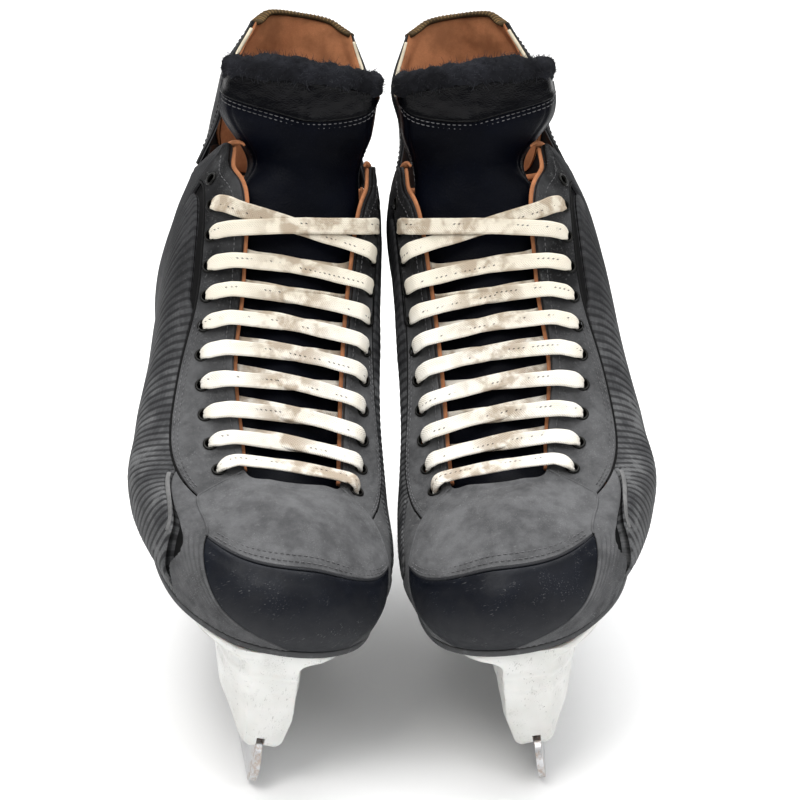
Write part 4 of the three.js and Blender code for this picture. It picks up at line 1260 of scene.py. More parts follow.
def guard_lining_piece():
    near = GUARD_SHELL + GAP

    def far(u, v):
        crowned = np.sin(math.pi * np.clip(v, 0, 1)) ** 0.5 * np.sin(math.pi * np.clip(u / 4, 0, 1)) ** 0.4
        return near + 0.8 + (GUARD_LINING - 0.8) * crowned

    def patch(s, t):
        """It stops short of the guard's two front corners."""
        corner = 0.62 * (1 - smooth(np.minimum(s, 1 - s), 0.04, 0.3))
        return 4 * mix(0.01, 0.99, s), mix(corner, 1, t)

    points, faces, _ = shell(guard, patch, near, far, GUARD_SIZE, step=1.6, roll=0.6)
    half = len(points) // 2
    crease = 0.55 * noise(points[half:] * (1, 1, 0.6), 12) + 0.3 * noise(points[half:], 6)
    creased = points[half:] + unit(points[half:] - points[:half] + 1e-6) * crease[:, None]
    part = (np.concatenate([points[:half], creased]), faces, None)
    name = "tendon_guard_lining"
    linings = add(name, [part], "tan", body=GUARD_BEND, replaces=[name])


def guard_binding_pieces():
    """A woven band over the guard's top edge, and the gold stitches laid over it."""
    top, out = seam(guard, 0.06, 3.94, level_line(0.99), lift=-2.6)
    upright = unit(out * 0.2 + (0, 0, 1))
    band = sweep(top, upright, ring(16, 3.2, 1.4))
    add("guard_binding", [band], "binding", body="tendon_guard")
    laid = []
    turn = np.linspace(0.15, math.pi - 0.15, 9)[:, None]
    for spot in np.arange(3, len(top) - 3, 2):
        side = unit(np.cross(tangents(top)[spot], upright[spot]))
        arc = top[spot] + side * 3.35 * np.cos(turn) + upright[spot] * 1.55 * np.sin(turn)
        laid.append(sweep(arc, unit(arc - top[spot]), ring(5, 0.24)))
    add("guard_binding_stitches", laid, "gold_thread", body="tendon_guard")


def guard_trim():
    cords = []
    for u in (0.035, 3.965):
        path, normals = seam(guard, 0.6, 0.95, up_line(u), lift=-GUARD_SHELL - 0.2)
        cords.append(sweep(path, normals, ring(10, 0.8, 1.0)))
    add("guard_cream_piping", cords, "cream", body=GUARD_BEND)
    rows = []
    for v in (0.9, 0.12):
        rows += stitches(*seam(guard, 0.12, 3.88, level_line(v), lift=0.1))
    for u in (0.16, 3.84):
        rows += stitches(*seam(guard, 0.1, 0.9, up_line(u), lift=0.1))
    add("guard_stitching", rows, "thread", body=GUARD_BEND)


@flat
def gusset_skin(u, v):
    """The soft strip that closes the gap between the collar and the guard."""
    low = upper(mix(GUARD_FRONT, RIB_COUNT - GUARD_FRONT, u / 4), 0.955, 3.0)
    return mix(low, guard(u, 0.13, GUARD_SHELL + 0.5), v[:, None])


def guard_gusset():
    def patch(s, t):
        return mix(0.05, 3.95, s), t

    strip = shell(inside(gusset_skin, 0, 4), patch, 0, 1.1, (190, 14), step=2, roll=0.4)
    add("guard_gusset", [strip], "guard", body=GUARD_BEND)


# ---- Tongue ----
TONGUE_DEPTH, TONGUE_ARCH = 8.2, 3.5
TONGUE_SHELL, TONGUE_FELT = 2, 6
TONGUE_SIZE = (92, 210)
TONGUE_HALF = 36
CRESCENT = {"half": 0.9, "middle": 0.878, "lateral": 0.044, "medial": 0.078, "top": 0.966}
TONGUE_FREE = [
    [(-29, 45, 238), (-25, 33, 245), (1, 22, 249), (20, 34, 244), (24, 47, 236)],
    [(-32, 42, 262), (-26, 29, 266), (5, 22, 268), (36, 29, 267), (42, 42, 263)],
    [(-31, 42, 289), (-25, 30, 292), (6, 23, 295), (36, 30, 291), (43, 42, 288)],
]
TONGUE_HINGE = to_skate(joints["left_tongue_hinge"]["pos_m"])
TONGUE_BEND = (
    "skate", "tongue_top",
    (TONGUE_HINGE[0], TONGUE_HINGE[1], TONGUE_HINGE[2] - 11),
    (TONGUE_HINGE[0], TONGUE_HINGE[1], TONGUE_HINGE[2] + 11),
)


def tongue_ribs():
    ribs = []
    for a in (2.1, 2.7, 3.4, 4.2, 5, 5.6):
        low = [upper(way * a, 0.83, TONGUE_DEPTH) for way in (-1, 1)]
        high = [upper(way * a, 0.97, TONGUE_DEPTH) for way in (-1, 1)]
        top = [upper(way * a, 1, TONGUE_DEPTH) for way in (1, -1)]
        front = unit(normal_of(skin, a, 1) + normal_of(skin, -a, 1))
        ribs.append([low[0], high[0], mix(*top, 0.5) + front * TONGUE_ARCH, high[1], low[1]])
    return np.array(ribs + [[np.array(p, float) for p in rib] for rib in TONGUE_FREE])


TONGUE_RIBS = tongue_ribs()


@flat
def tongue_skin(u, v):
    """The tongue's front: u runs across it from the medial edge at -1, and v up it."""
    return across(curve(TONGUE_RIBS, np.clip(v, 0, 1)), (np.clip(u, -1, 1) + 1) / 2)


tongue = inside(tongue_skin, -1, 1)


def tongue_part(low, high):
    def patch(s, t):
        return mix(-1, 1, s), mix(low, high, t)

    return patch


def tongue_face():
    def relief(u, v, points):
        middle = 0.9 * (1 - np.abs(u) ** 2.2) * smooth(v, 0.6, 0.72) * (1 - smooth(v, 0.86, 0.9))
        channel = -0.7 * bell(np.abs(u), 0.62 - 0.25 * (v - 0.7), 0.03) * smooth(v, 0.45, 0.55)
        return middle + channel + 0.4 * noise(points, 14) + 0.12 * noise(points, 5)

    patch = tongue_part(0, 0.955)
    nodes = ["tongue_lower", "tongue_upper"]
    whole = shell(tongue, patch, 0, TONGUE_SHELL, TONGUE_SIZE, step=1.4, roll=1.0, relief=relief)
    add("tongue", [whole], "tongue", body=TONGUE_BEND, replaces=nodes)


def tongue_felt():
    near = TONGUE_SHELL + 4 * GAP

    def far(u, v):
        return near + mix(2.5, TONGUE_FELT, smooth(v, 0, 0.3)) * (1 - 0.5 * np.abs(u) ** 3)

    def fuzz(u, v, points):
        return 0.2 * noise(points, 5)

    patch = tongue_part(0.03, 1.0)
    backing = shell(tongue, patch, near, far, TONGUE_SIZE, step=2.2, roll=1.5, relief=fuzz)
    nodes = ["tongue_lower_felt", "tongue_upper_felt"]
    felts = add("tongue_felt", [backing], "felt", body=TONGUE_BEND, replaces=nodes)


def crescent_edge(u):
    """The crescent's low edge curves up to each side, and further on the medial one."""
    out = np.abs(u) / CRESCENT["half"]
    medial = np.minimum(1.4 * out**1.6, 1) * CRESCENT["medial"]
    return CRESCENT["middle"] + np.where(np.asarray(u) > 0, CRESCENT["lateral"] * out, medial)


def tongue_crescent():
    """The glossy panel across the tongue's top."""
    def crescent(s, t):
        u = mix(-CRESCENT["half"], CRESCENT["half"], s)
        return u, mix(crescent_edge(u), CRESCENT["top"], t)

    def sunken(u, v, points):
        rim = 1 - smooth(v - crescent_edge(u), 0.0, 0.014)
        seam_line = bell(points[..., 0], 5, 0.7)
        return 0.5 * rim + 0.45 * noise(points, 9) + 0.2 * noise(points, 3.5) - 0.8 * seam_line

    top = shell(tongue, crescent, -0.9, 0.3, (74, 18), step=0.8, roll=0.8, relief=sunken)
    add("tongue_crescent", [top], "gloss", body="tongue_top")


def tongue_trim():
    rows = []
    for below in (0.006, 0.016):
        def under_crescent(t, below=below):
            return t, crescent_edge(t) - below
        rows += stitches(*seam(tongue, -0.88, 0.88, under_crescent, lift=0.3), radius=0.22)
    add("tongue_top_stitching", rows, "grey_thread", body="tongue_top")
    rows, edges = [], []
    for way in (-1, 1):
        def beside_middle(t, way=way):
            return way * (0.68 - 0.25 * (t - 0.7)), t
        rows += stitches(*seam(tongue, 0.1, 0.84, beside_middle, lift=0.25))
        path, normals = seam(tongue, 0.02, 0.95, up_line(way * 0.985), lift=-1.2)
        edges.append(sweep(path, normals, ring(10, 1.3, 1.5)))
    add("tongue_side_stitching", rows, "thread", body=TONGUE_BEND)
    add("tongue_edge_binding", edges, "piping", body=TONGUE_BEND)


FELT_ROLL = {"v": 0.984, "half": (5.6, 6.0), "depth": 2.6, "fibres": 1400}


def fibre(root, away):
    """One loose, bent fibre of felt."""
    out = unit(away + rng.normal(0, 1.6, 3))
    bend = rng.normal(0, 0.9, 3)
    length = rng.uniform(0.6, 1.9)
    line = np.array([root + out * length * x + bend * x * x for x in np.linspace(-0.15, 1, 4)])
    thick = np.array([1, 0.9, 0.7, 0.35])[:, None] * np.ones((1, 2))
    return sweep(line, np.tile(unit(np.cross(out, bend + 0.01)), (4, 1)), ring(3, 0.13), thick)


def felt_roll():
    """The torn felt that is rolled over the tongue's top, with loose fibres."""
    depth = FELT_ROLL["depth"]
    path, _ = seam(tongue, -0.97, 0.97, level_line(FELT_ROLL["v"]), lift=-depth, step=0.6)
    upright = np.tile([0, 0.1, 1.0], (len(path), 1))
    ragged = 1 + 0.14 * noise(path, 9) + 0.1 * noise(path, 3)
    ends = 1 - 0.5 * smooth(np.abs(np.linspace(-1, 1, len(path))), 0.93, 1)
    section = ring(40, *FELT_ROLL["half"])
    points, faces, uv = sweep(path, upright, section, np.stack([ragged * ends, ragged * ends], -1))
    centre = np.repeat(path, len(section), 0)
    rough = 0.9 * noise(points, 4.5) + 0.6 * noise(points, 2) + 0.35 * noise(points, 0.9)
    points = points + unit(points - centre) * rough[:, None]
    add("tongue_felt_roll", [(points, faces, uv)], "felt", body="tongue_top")
    roots = rng.choice(len(points), FELT_ROLL["fibres"], replace=False)
    fibres = [fibre(points[k], points[k] - centre[k]) for k in roots]
    add("tongue_felt_fibres", fibres, "fibre", body="tongue_top")


# ---- Holder and runner ----
EDGE_FLAT, EDGE_RADIUS, EDGE_ENDS = 22, 3000, (-129, 131)
RUNNER, STEEL_TOP = 3, 24
LUG = {"half": 9, "top": 33}
RUNNER_ENDS = {  # the round ends' places, heights and radii, and where the straight top ends
    "heel": (EDGE_ENDS[1] - 2, 14, 13),
    "toe": (EDGE_ENDS[0] + 3, 14, 12),
    "top": (122, -124),
}
BOLT = {"radius": 2.4, "fork": 4.4, "fork_top": 36.5}
SLOT = RUNNER + 2 * GAP
FLANGE = 3.2
WAIST = {"height": 0.3, "share": 0.62}
# Along a tower: the place, the half widths of its flange and of its neck (medial before lateral), the half
# width of its foot, the foot's height and how far the top leans forwards.
HOLDER_FRONT = [
    (-135, 14, 13, 8.5, 8, 5, 24, 8),
    (-132, 22, 20, 11, 13, 6.5, 21.5, 8),
    (-124, 29, 27, 13, 19, 7.5, 20, 7),
    (-112, 33, 34, 16, 22, 7.5, 19.5, 5),
    (-95, 34, 38, 18, 24, 7, 19.5, 2),
    (-70, 30, 38, 17, 22, 6, 19.5, 0),
    (-52, 25, 31, 12, 14, 5.5, 20, 0),
    (-42, 18, 22, 7, 8, 5, 28, 0),
]
HOLDER_REAR = [
    (46, 12, 14, 7, 7, 5, 28, 0),
    (58, 17, 19, 11, 12, 5.5, 20, 0),
    (80, 21, 23, 16, 17, 6, 19.5, 0),
    (105, 22, 23, 17, 18, 6, 20, 0),
    (120, 17, 18, 13, 14, 6, 22, -2),
    (128, 10, 10, 8, 8, 5, 27, -3),
]
RAIL = {"ends": (-52, 56), "half": 5.2, "low": 20, "middle": 36, "rise": 10}
RAIL |= {"top_round": 1.7, "low_round": 0.8}
FILLET = 6  # under the flange
ROUNDING = {"foot": 2.2, "foot_reach": 3.0, "flange": 0.9}
NOSE_SWELL = {"by": 3, "from": 95, "to": 130}  # the nose bulges on its medial side
HOLDER_RIDGES = ((13, 1.5, 0.9), (20, 1.7, 0.8), (30, 2.4, 0.35))  # place below the top, width and height
RIVETS = ((HOLDER_FRONT, (-118, -101, -82, -62)), (HOLDER_REAR, (56, 74, 94, 114)))
RIVET_PROFILE = [(0.01, 0.4), (1.4, 0.35), (2.1, -0.1), (2.4, -0.9), (0.01, -0.9)]


def holder_top(y):
    return sole_z(y) - OUTSOLE - GAP


def tower_width(z, low, top, foot, neck, flange, broad):
    """Half a tower's width at a height, on one side. It is rounded at its foot and at the flange's edges."""
    under = top - z
    knots = [low, mix(low, top, WAIST["height"]), top - FLANGE - FILLET, top - FLANGE, top]
    widths = [foot + max(broad, 0), mix(foot, neck, WAIST["share"]) + broad, neck, flange, flange]
    x = np.interp(z, knots, widths)
    if FLANGE < under < FLANGE + FILLET:
        x = mix(flange, neck, 1 - (1 - (under - FLANGE) / FILLET) ** 2.2)
    at_foot = max(0, 1 - (z - low) / ROUNDING["foot_reach"]) ** 2
    at_top = max(0, 1 - under) ** 2
    at_flange = max(0, 1 - abs(under - FLANGE)) ** 2 * (under <= FLANGE)
    return x - ROUNDING["foot"] * at_foot - ROUNDING["flange"] * (at_top + at_flange)


def tower(stations):
    """One tower of the holder, lofted upwards through its outline at each height."""
    outlines = []
    for share in np.concatenate([np.linspace(0, 0.8, 46), np.linspace(0.805, 1, 30)]):
        lateral_side, medial_side = [], []
        for y, medial_top, lateral_top, medial_neck, lateral_neck, foot, low, lean in stations:
            swell = NOSE_SWELL["by"] * float(smooth(-y, NOSE_SWELL["from"], NOSE_SWELL["to"]))
            top = holder_top(y - lean)
            z = mix(low, top, share)
            leant = y - lean * (z - low) / (top - low)
            lateral_x = tower_width(z, low, top, foot, lateral_neck, lateral_top, -0.5 * swell)
            medial_x = tower_width(z, low, top, foot, medial_neck, medial_top, swell)
            lateral_side.append((lateral_x, leant, z))
            medial_side.append((-medial_x, leant, z))
        outlines.append(lateral_side + medial_side[::-1])
    t = np.linspace(0, 1, 200, endpoint=False)
    rings = np.array([curve(outline, t, closed=True) for outline in outlines])
    under = holder_top(rings[..., 1]) - rings[..., 2]
    ridge = sum(high * bell(under, depth, wide) for depth, wide, high in HOLDER_RIDGES)
    wear = 0.12 * noise(rings, 7) + 0.25 * noise(rings, 20)
    out = (rings - rings.mean(axis=1, keepdims=True)) * (1, 1, 0)
    return loft(rings + unit(out) * (ridge + wear * (under > 1))[..., None])


def rail():
    """The rail between the towers, which is lowest at its middle."""
    half, low, large, small = (RAIL[key] for key in ("half", "low", "top_round", "low_round"))
    outlines = []
    for y in np.linspace(*RAIL["ends"], 48):
        high = RAIL["middle"] + RAIL["rise"] * (y / RAIL["ends"][1]) ** 2
        corners = [
            (half - large, high - large, large), (-half + large, high - large, large),
            (-half + small, low + small, small), (half - small, low + small, small),
        ]
        outline = []
        for turn, (x, z, radius) in enumerate(corners):
            for angle in (turn + np.linspace(0, 1, 6)) * math.pi / 2:
                outline.append((x + radius * math.cos(angle), y, z + radius * math.sin(angle)))
        outlines.append(outline)
    return loft(outlines)


def holder_cuts():
    """What the runner's slot, its lugs and its bolts take out of the holder."""
    start, end = HOLDER_FRONT[0][0] - 12, HOLDER_REAR[-1][0] + 8
    fork_top = BOLT["fork_top"] + GAP
    reach = LUG["half"] + GAP
    cuts = [
        box_part((-SLOT / 2, start, 5), (SLOT / 2, end, STEEL_TOP + GAP)),
        box_part((-SLOT / 2, start, 5), (SLOT / 2, EDGE_ENDS[0] + 1, STEEL_TOP + 3.4)),
    ]
    for y in BOLT_Y.values():
        cuts.append(rod_part((0, y, (10 + fork_top) / 2), (0, 0, 1), BOLT["fork"] + GAP, fork_top - 10))
        cuts.append(rod_part((0, y, 60), (0, 0, 1), BOLT["radius"] + GAP, 60))
        cuts.append(box_part((-SLOT / 2, y - reach, 15), (SLOT / 2, y + reach, LUG["top"] + GAP)))
    return cuts


def holder_piece():
    body = boolean("UNION", tower(HOLDER_FRONT), rail(), tower(HOLDER_REAR))
    body = boolean("DIFFERENCE", body, *holder_cuts())
    for piece in add("holder", [body], "holder", replaces=["holder"]).values():
        piece.data.set_sharp_from_angle(angle=math.radians(38))


def rivet_pieces():
    rivets = []
    for stations, spots in RIVETS:
        rows = np.array(stations, float)
        for y in spots:
            for way, column in ((1, 2), (-1, 1)):
                x = way * (np.interp(y, rows[:, 0], rows[:, column]) - 4)
                rivets.append(lathe(np.array([x, y, holder_top(y) - FLANGE]), (0, 0, -1), RIVET_PROFILE, 20))
    add("holder_rivets", rivets, "zinc")


def runner_outline():
    """The runner from its side, from the toe end of its ground edge, and how many points that edge has."""

    def arc(middle_y, middle_z, radius, start, end):
        angle = np.linspace(start, end, 24)
        return np.stack([middle_y + radius * np.cos(angle), middle_z + radius * np.sin(angle)], -1)

    def lug(y):
        half, top = LUG["half"], LUG["top"]
        return [(y + half, STEEL_TOP), (y + half - 3, top), (y - half + 3, top), (y - half, STEEL_TOP)]

    y = np.linspace(*EDGE_ENDS, 120)
    edge = np.stack([y, np.maximum(np.abs(y) - EDGE_FLAT, 0) ** 2 / (2 * EDGE_RADIUS)], -1)
    heel = arc(*RUNNER_ENDS["heel"], -1.15, 0.9)
    toe = arc(*RUNNER_ENDS["toe"], math.pi - 0.9, math.pi + 1.15)
    rear, front = RUNNER_ENDS["top"]
    top = [(rear, STEEL_TOP), *lug(BOLT_Y["rear"]), *lug(BOLT_Y["front"]), (front, STEEL_TOP)]
    return np.concatenate([edge, heel, top, toe]), len(edge)


def runner_piece():
    """The blade, with a hollow ground along its edge and its rims eased."""
    outline, edge_count = runner_outline()
    hollow = np.zeros(len(outline))
    hollow[2 : edge_count - 2] = 0.12
    inset = outline + unit(outline.mean(axis=0) - outline) * 0.22
    inset[:, 1] = np.where(hollow > 0, outline[:, 1] + 0.1, inset[:, 1])
    half = RUNNER / 2
    layers = [(-half, inset, 0), (-half + 0.12, outline, 0), (-0.7, outline, 0.75), (0, outline, 1)]
    layers += [(-x, points, lift) for x, points, lift in layers[2::-1]]
    rings = []
    for x, points, lift in layers:
        z = points[:, 1] + hollow * lift
        rings.append(np.stack([np.full(len(points), x), points[:, 0], z], -1))
    steel = loft(rings, whole_ends=True)
    for piece in add("runner", [steel], "steel", replaces=["runner"]).values():
        piece.data.set_sharp_from_angle(angle=math.radians(25))


def bolt_finishes():
    for side in SIDES:
        for end in BOLT_Y:
            for kind in ("bolt", "nut"):
                node = frame["nodes"][f"{side}_runner_{kind}_{end}"]
                node.data.materials.clear()
                node.data.materials.append(FINISH["zinc"])


# ---- Lace ----
LACE = {"half": 4, "thick": 1.3, "bunched": 1.7}
LACED_WIDTH = 0.98  # of the lace's own width, where it is pulled tight
CLEAR = GAP + LACE["thick"] / 2 + 1.1
UNDER = SHELL + CLEAR + 0.7
# Out of an eyelet to the throat's edge: shares of the way, depths and how far the lace leans back.
LACE_ARCH = [(0.03, 2.2, 3), (0.02, -0.9, 3), (0.25, -3.4, 0.8), (0.6, -4.3, 0.1), (0.96, -3.4, 0)]


def woven_section():
    """A flat lace's cross-section: rounded, thicker edges and a slightly hollow middle."""
    across_lace = np.array([1, 0.93, 0.72, 0.4, 0, -0.4, -0.72, -0.93, -1])
    height = np.array([0, 0.75, 1.0, 0.86, 0.8, 0.86, 1.0, 0.75, 0])
    upper_half = np.stack([across_lace * LACE["half"], height * LACE["thick"] / 2], -1)
    lower_half = upper_half[-2:0:-1] * (1, -1)
    return np.concatenate([upper_half, lower_half])


EASING_PASSES = 14


def rounded_off(path):
    """The same path with its corners eased."""
    eased = path.copy()
    for _ in range(EASING_PASSES):
        eased[1:-1] = 0.25 * eased[:-2] + 0.5 * eased[1:-1] + 0.25 * eased[2:]
    return eased


def ribbon(stops, seed, twist=0.0):
    """A laced stretch through places with the ways that it faces, pinched at its ends and twisted once."""
    t = np.linspace(0, 1, 110)
    path = rounded_off(curve([at for at, _ in stops], t))
    out = unit(rounded_off(curve([face for _, face in stops], t)))
    run = distances(path)
    full = smooth(np.minimum(run, run[-1] - run), 1, 9)
    side = unit(np.cross(tangents(path), out))
    turn = 0.14 * noise(path + 2 * seed, 14) + twist * bell(t, 0.7, 0.13)
    out = unit(out * np.cos(turn)[:, None] + side * np.sin(turn)[:, None])
    path = path + out * (0.3 * noise(path + seed, 9) * full)[:, None]
    width = LACED_WIDTH * mix(0.48, 1.0, full) * (1 + 0.06 * noise(path + seed, 10))
    return sweep(path, out, woven_section(), np.stack([width, mix(1.5, 1.0, full)], -1))


def nearest_on_tongue(point):
    """How far up the tongue the place nearest to a point lies."""
    v = np.linspace(0, 1, 101)
    return v[np.argmin(np.linalg.norm(tongue(0, v) - point, axis=-1))]


def stop(a, v, depth, lean=0.0, along=(0, 0, 0)):
    """A place over or under the facing, and the way that the lace faces there, leant back along its run."""
    return upper(a, v, depth), unit(normal_of(skin, a, v) - lean * np.asarray(along))


def crossing(row, towards):
    """The rib where the straight way from an eyelet to a place crosses the throat's edge."""
    way = 1 if row[0] > 0 else -1
    ribs = way * np.linspace(max(abs(row[0]) - 1.2, 2.2), abs(row[0]) + 0.4, 81)
    edge = skin(ribs, 1.0)
    length = np.linalg.norm(edge - row[1], axis=-1) + np.linalg.norm(edge - towards, axis=-1)
    arched = 0.6 * (1 - smooth(row[1][2], 160, 212))
    return mix(ribs[np.argmin(length)], row[0], arched)


def out_of(row, towards):
    """From inside an eyelet, round in an arch, to the edge of the throat."""
    end = crossing(row, towards)
    along = unit(skin(end, 1.0) - row[1])
    return [
        stop(mix(row[0], end, share), mix(EYELET_V, 1, share), depth, lean, along)
        for share, depth, lean in LACE_ARCH
    ]


def behind_facing(row, above, towards):
    """From the throat's edge, part of the way down to the row below, behind the facing to the eyelet."""
    low = mix(crossing(row, towards), crossing(above, towards), 0.5)
    halfway = mix(low, above[0], 0.5)
    return [stop(low, 1.0, UNDER + 1), stop(halfway, EYELET_V + 0.05, UNDER), stop(above[0], EYELET_V, UNDER)]


def strand(start_row, end_row, level, seed, below=None, twist=0.0):
    """A crossing from one eyelet to another, level mm off the tongue's face. With a row below given, it goes
    behind the facing to its end."""
    if below is None:
        first, second = out_of(start_row, end_row[1]), out_of(end_row, start_row[1])[::-1]
    else:
        first = out_of(start_row, mix(below[1], end_row[1], 0.5))
        second = behind_facing(below, end_row, start_row[1])
    start, end = first[-1], second[0]
    low, high = nearest_on_tongue(start[0]), nearest_on_tongue(end[0])

    def bridge(share):
        face = unit(mix(start_row[2], end_row[2], share))
        at = mix(start[0], end[0], share)
        ground = tongue(at[0] / TONGUE_HALF, mix(low, high, share))
        lift = max(float((ground - at) @ face) + CLEAR, 0)
        return at + face * (lift + level * math.sin(math.pi * share) ** 0.8), face

    return ribbon([*first, bridge(0.25), bridge(0.5), bridge(0.75), *second], seed, twist)


def through(row):
    """The lace bunched up inside an eyelet."""
    path = upper(np.full(7, row[0]), EYELET_V + 0.004, np.linspace(0.4, UNDER + 0.1, 7))
    across_row = unit(np.cross(row[2], (0, 0.3, 1.0)))
    return sweep(path, np.tile(across_row, (7, 1)), ring(12, LACE["bunched"], LACE["bunched"] * 0.85))


def between(start_row, end_row, seed):
    """The stretch behind the facing from one eyelet to the next."""
    return ribbon([stop(mix(start_row[0], end_row[0], t), EYELET_V, UNDER) for t in (0, 0.5, 1)], seed)


def lace_piece():
    rows = {side: eyelets(side)[1:] for side in ("lateral", "medial")}
    last = len(rows["lateral"]) - 1
    parts = [strand(rows["lateral"][last], rows["medial"][last], 1, 3)]
    for own, other in (("lateral", "medial"), ("medial", "lateral")):
        parts.append(between(rows[own][last], rows[own][last - 1], 5))
        parts += [through(row) for row in rows[own]]
        for k in range(last - 1, 0, -1):
            on_top = k > 1 if own == "medial" else k == 1
            seed = 11 * k + (50 if own == "medial" else 0)
            twist = 0 if on_top else 0.9 * float(noise(np.array([seed * 7.3, 1.0, 2.0]), 10))
            below = rows[other][k] if k > 1 else None
            parts.append(strand(rows[own][k], rows[other][k - 1], 2.3 if on_top else 0.4, seed, below, twist))
    add("lace", parts, "lace", replaces=["lace"])


# The free ends go back from the top laced eyelets, down inside the boot and along the footbed.
TAILS = {
    "lateral": [
        (37, 34, 219), (38, 41, 214), (39, 47, 205), (40, 50, 193), (40, 52, 178),
        (39, 53, 162), (37, 54, 146), (35, 54, 130), (33, 52, 115), (29, 46, 102),
        (25, 36, 93.5), (21, 24, 89), (17, 10, 87.5), (12, -4, 87), (4, -16, 86.9),
        (-7, -22, 86.8), (-16, -18, 86.9), (-19, -8, 87), (-17, 4, 87.2), (-13, 16, 87.4),
    ],
    "medial": [
        (-30, 36, 216), (-31, 43, 210), (-32, 49, 201), (-33, 53, 189), (-33, 56, 174),
        (-33, 58, 158), (-31, 60, 142), (-29, 61, 127), (-27, 63, 113), (-24, 68, 101),
        (-20, 76, 93.5), (-15, 86, 90), (-8, 96, 89), (2, 103, 89.1), (12, 101, 89.1),
        (18, 92, 88.9), (18, 81, 88.7), (14, 70, 88.5), (9, 59, 88.3), (5, 48, 88),
    ],
}
AGLET_POINTS = 7  # of a tail's path, at its end


def tail_pieces():
    for side, route in TAILS.items():
        wall = 1 if side == "lateral" else -1
        path = resample(curve(route, np.linspace(0, 1, 240)), 1.5)[0]
        along = tangents(path)
        lying = smooth(-path[:, 2], -135, -95)
        out = np.stack([-wall * (1 - lying), np.full(len(path), 0.15), lying], -1)
        out = unit(out - along * np.sum(out * along, axis=1, keepdims=True))
        woven, tip = slice(None, -AGLET_POINTS), slice(-AGLET_POINTS - 1, None)
        name = f"lace_tail_{side}"
        soft_part = sweep(path[woven], out[woven], woven_section())
        tails = add(name, [soft_part], "lace", replaces=[name])
        aglet = sweep(path[tip], out[tip], ring(14, 1.7, 1.4))
        tips = add(f"lace_aglet_{side}", [aglet], "cream")


# ---- Setting ----
PAPER = {"half": 6.0, "bends_at": 1.6, "bend": 1.2, "top": 5.0}
LAMPS = {
    "key": {"place": (-0.9, -1.2, 2.4), "size": 1.2, "power": 30, "color": (1, 0.99, 0.97)},
    "fill": {"place": (1.3, -1.3, 1.7), "size": 1.4, "power": 12, "color": (0.97, 0.985, 1)},
    "top": {"place": (0.0, 0.6, 2.4), "size": 2.0, "power": 60, "color": (1, 1, 1)},
}
SKY = {"low": 0.12, "high": 0.95}


def sky():
    """A studio that is bright overhead and dim towards the horizon."""
    world = bpy.data.worlds.new("studio")
    world.use_nodes = True
    nodes, links = world.node_tree.nodes, world.node_tree.links
    place = nodes.new("ShaderNodeTexCoord")
    split = nodes.new("ShaderNodeSeparateXYZ")
    spread = nodes.new("ShaderNodeMapRange")
    values = {"From Min": 0.1, "From Max": 0.9, "To Min": SKY["low"], "To Max": SKY["high"]}
    for key, value in values.items():
        spread.inputs[key].default_value = value
    links.new(place.outputs["Generated"], split.inputs[0])
    links.new(split.outputs["Z"], spread.inputs["Value"])
    nodes["Background"].inputs["Color"].default_value = (1, 1, 1, 1)
    links.new(spread.outputs["Result"], nodes["Background"].inputs["Strength"])
    return world


def backdrop():
    """A pale floor that curves up behind."""
    start, bend = PAPER["bends_at"], PAPER["bend"]
    profile = [(-PAPER["half"], 0.0), (start, 0.0)]
    turns = np.linspace(0.1, math.pi / 2, 14)
    profile += [(start + bend * math.sin(turn), bend - bend * math.cos(turn)) for turn in turns]
    profile.append((start + bend, PAPER["top"]))
    points = [(x, y, z) for y, z in profile for x in (-PAPER["half"], PAPER["half"])]
    faces = [(2 * k, 2 * k + 1, 2 * k + 3, 2 * k + 2) for k in range(len(profile) - 1)]
    mesh = bpy.data.meshes.new("backdrop")
    mesh.from_pydata(points, [], faces)
    mesh.polygons.foreach_set("use_smooth", np.ones(len(faces), bool))
    mesh.materials.append(Finish("white paper").done((0.93, 0.93, 0.93), 0.7))
    paper = bpy.data.objects.new("backdrop", mesh)
    bpy.context.scene.collection.objects.link(paper)


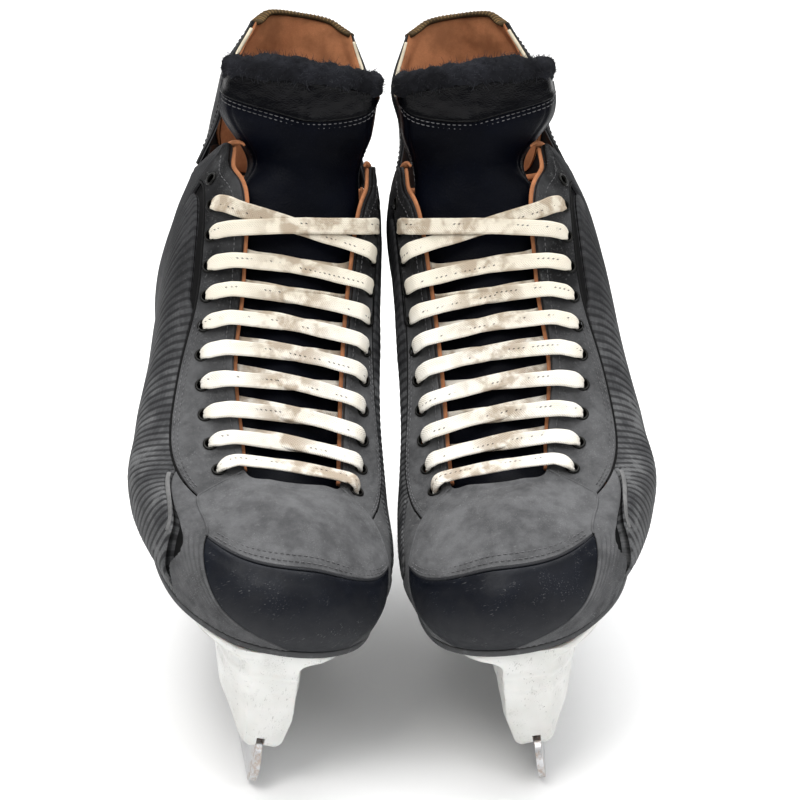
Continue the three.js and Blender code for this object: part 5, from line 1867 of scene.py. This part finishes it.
def lamps():
    aim = Vector((0, 0, 0.14))
    for name, values in LAMPS.items():
        light = bpy.data.lights.new(name, "AREA")
        light.size, light.energy, light.color = (values[key] for key in ("size", "power", "color"))
        lamp = bpy.data.objects.new(name, light)
        lamp.location = values["place"]
        lamp.rotation_euler = (aim - lamp.location).to_track_quat("-Z", "Y").to_euler()
        bpy.context.scene.collection.objects.link(lamp)


def setting():
    """Soft studio light on a pale floor."""
    backdrop()
    lamps()
    scene = bpy.context.scene
    scene.world = sky()
    scene.view_settings.view_transform = "Standard"
    scene.view_settings.look = "None"


CAMERA = {
    "target": Vector((4.9, -16.2, 142.0)) * MM,
    "distance": 1.157,
    "elevation": math.radians(21.8),
    "azimuth": math.radians(-3.81),
    "roll": math.radians(1.26),
    "lens": 109.98,
}


def camera():
    """It stands in front of the toes and looks down at both skates."""
    elevation, azimuth = CAMERA["elevation"], CAMERA["azimuth"]
    back = Vector((
        math.sin(azimuth) * math.cos(elevation),
        -math.cos(azimuth) * math.cos(elevation),
        math.sin(elevation),
    ))
    right = Vector((math.cos(azimuth), math.sin(azimuth), 0))
    above = back.cross(right)
    c, s = math.cos(CAMERA["roll"]), math.sin(CAMERA["roll"])
    right, above = right * c + above * s, above * c - right * s
    data = bpy.data.cameras.new("camera")
    data.lens, data.sensor_width = CAMERA["lens"], 36
    eye = bpy.data.objects.new("camera", data)
    turn = Matrix((right, above, back)).transposed().to_4x4()
    eye.matrix_world = Matrix.Translation(CAMERA["target"] + back * CAMERA["distance"]) @ turn
    bpy.context.scene.collection.objects.link(eye)
    bpy.context.scene.camera = eye


# ---- Assembly ----
camera()
setting()
toe_cap_piece()
vamp_piece()
vamp_trim()
side_pieces("lateral")
side_pieces("medial")
lining_piece()
collar_binding_piece()
backstay_pieces()
sole_pieces()
guard_shell_piece()
guard_lining_piece()
guard_binding_pieces()
guard_trim()
guard_gusset()
tongue_face()
tongue_felt()
tongue_crescent()
felt_roll()
tongue_trim()
holder_piece()
rivet_pieces()
runner_piece()
bolt_finishes()
lace_piece()
tail_pieces()
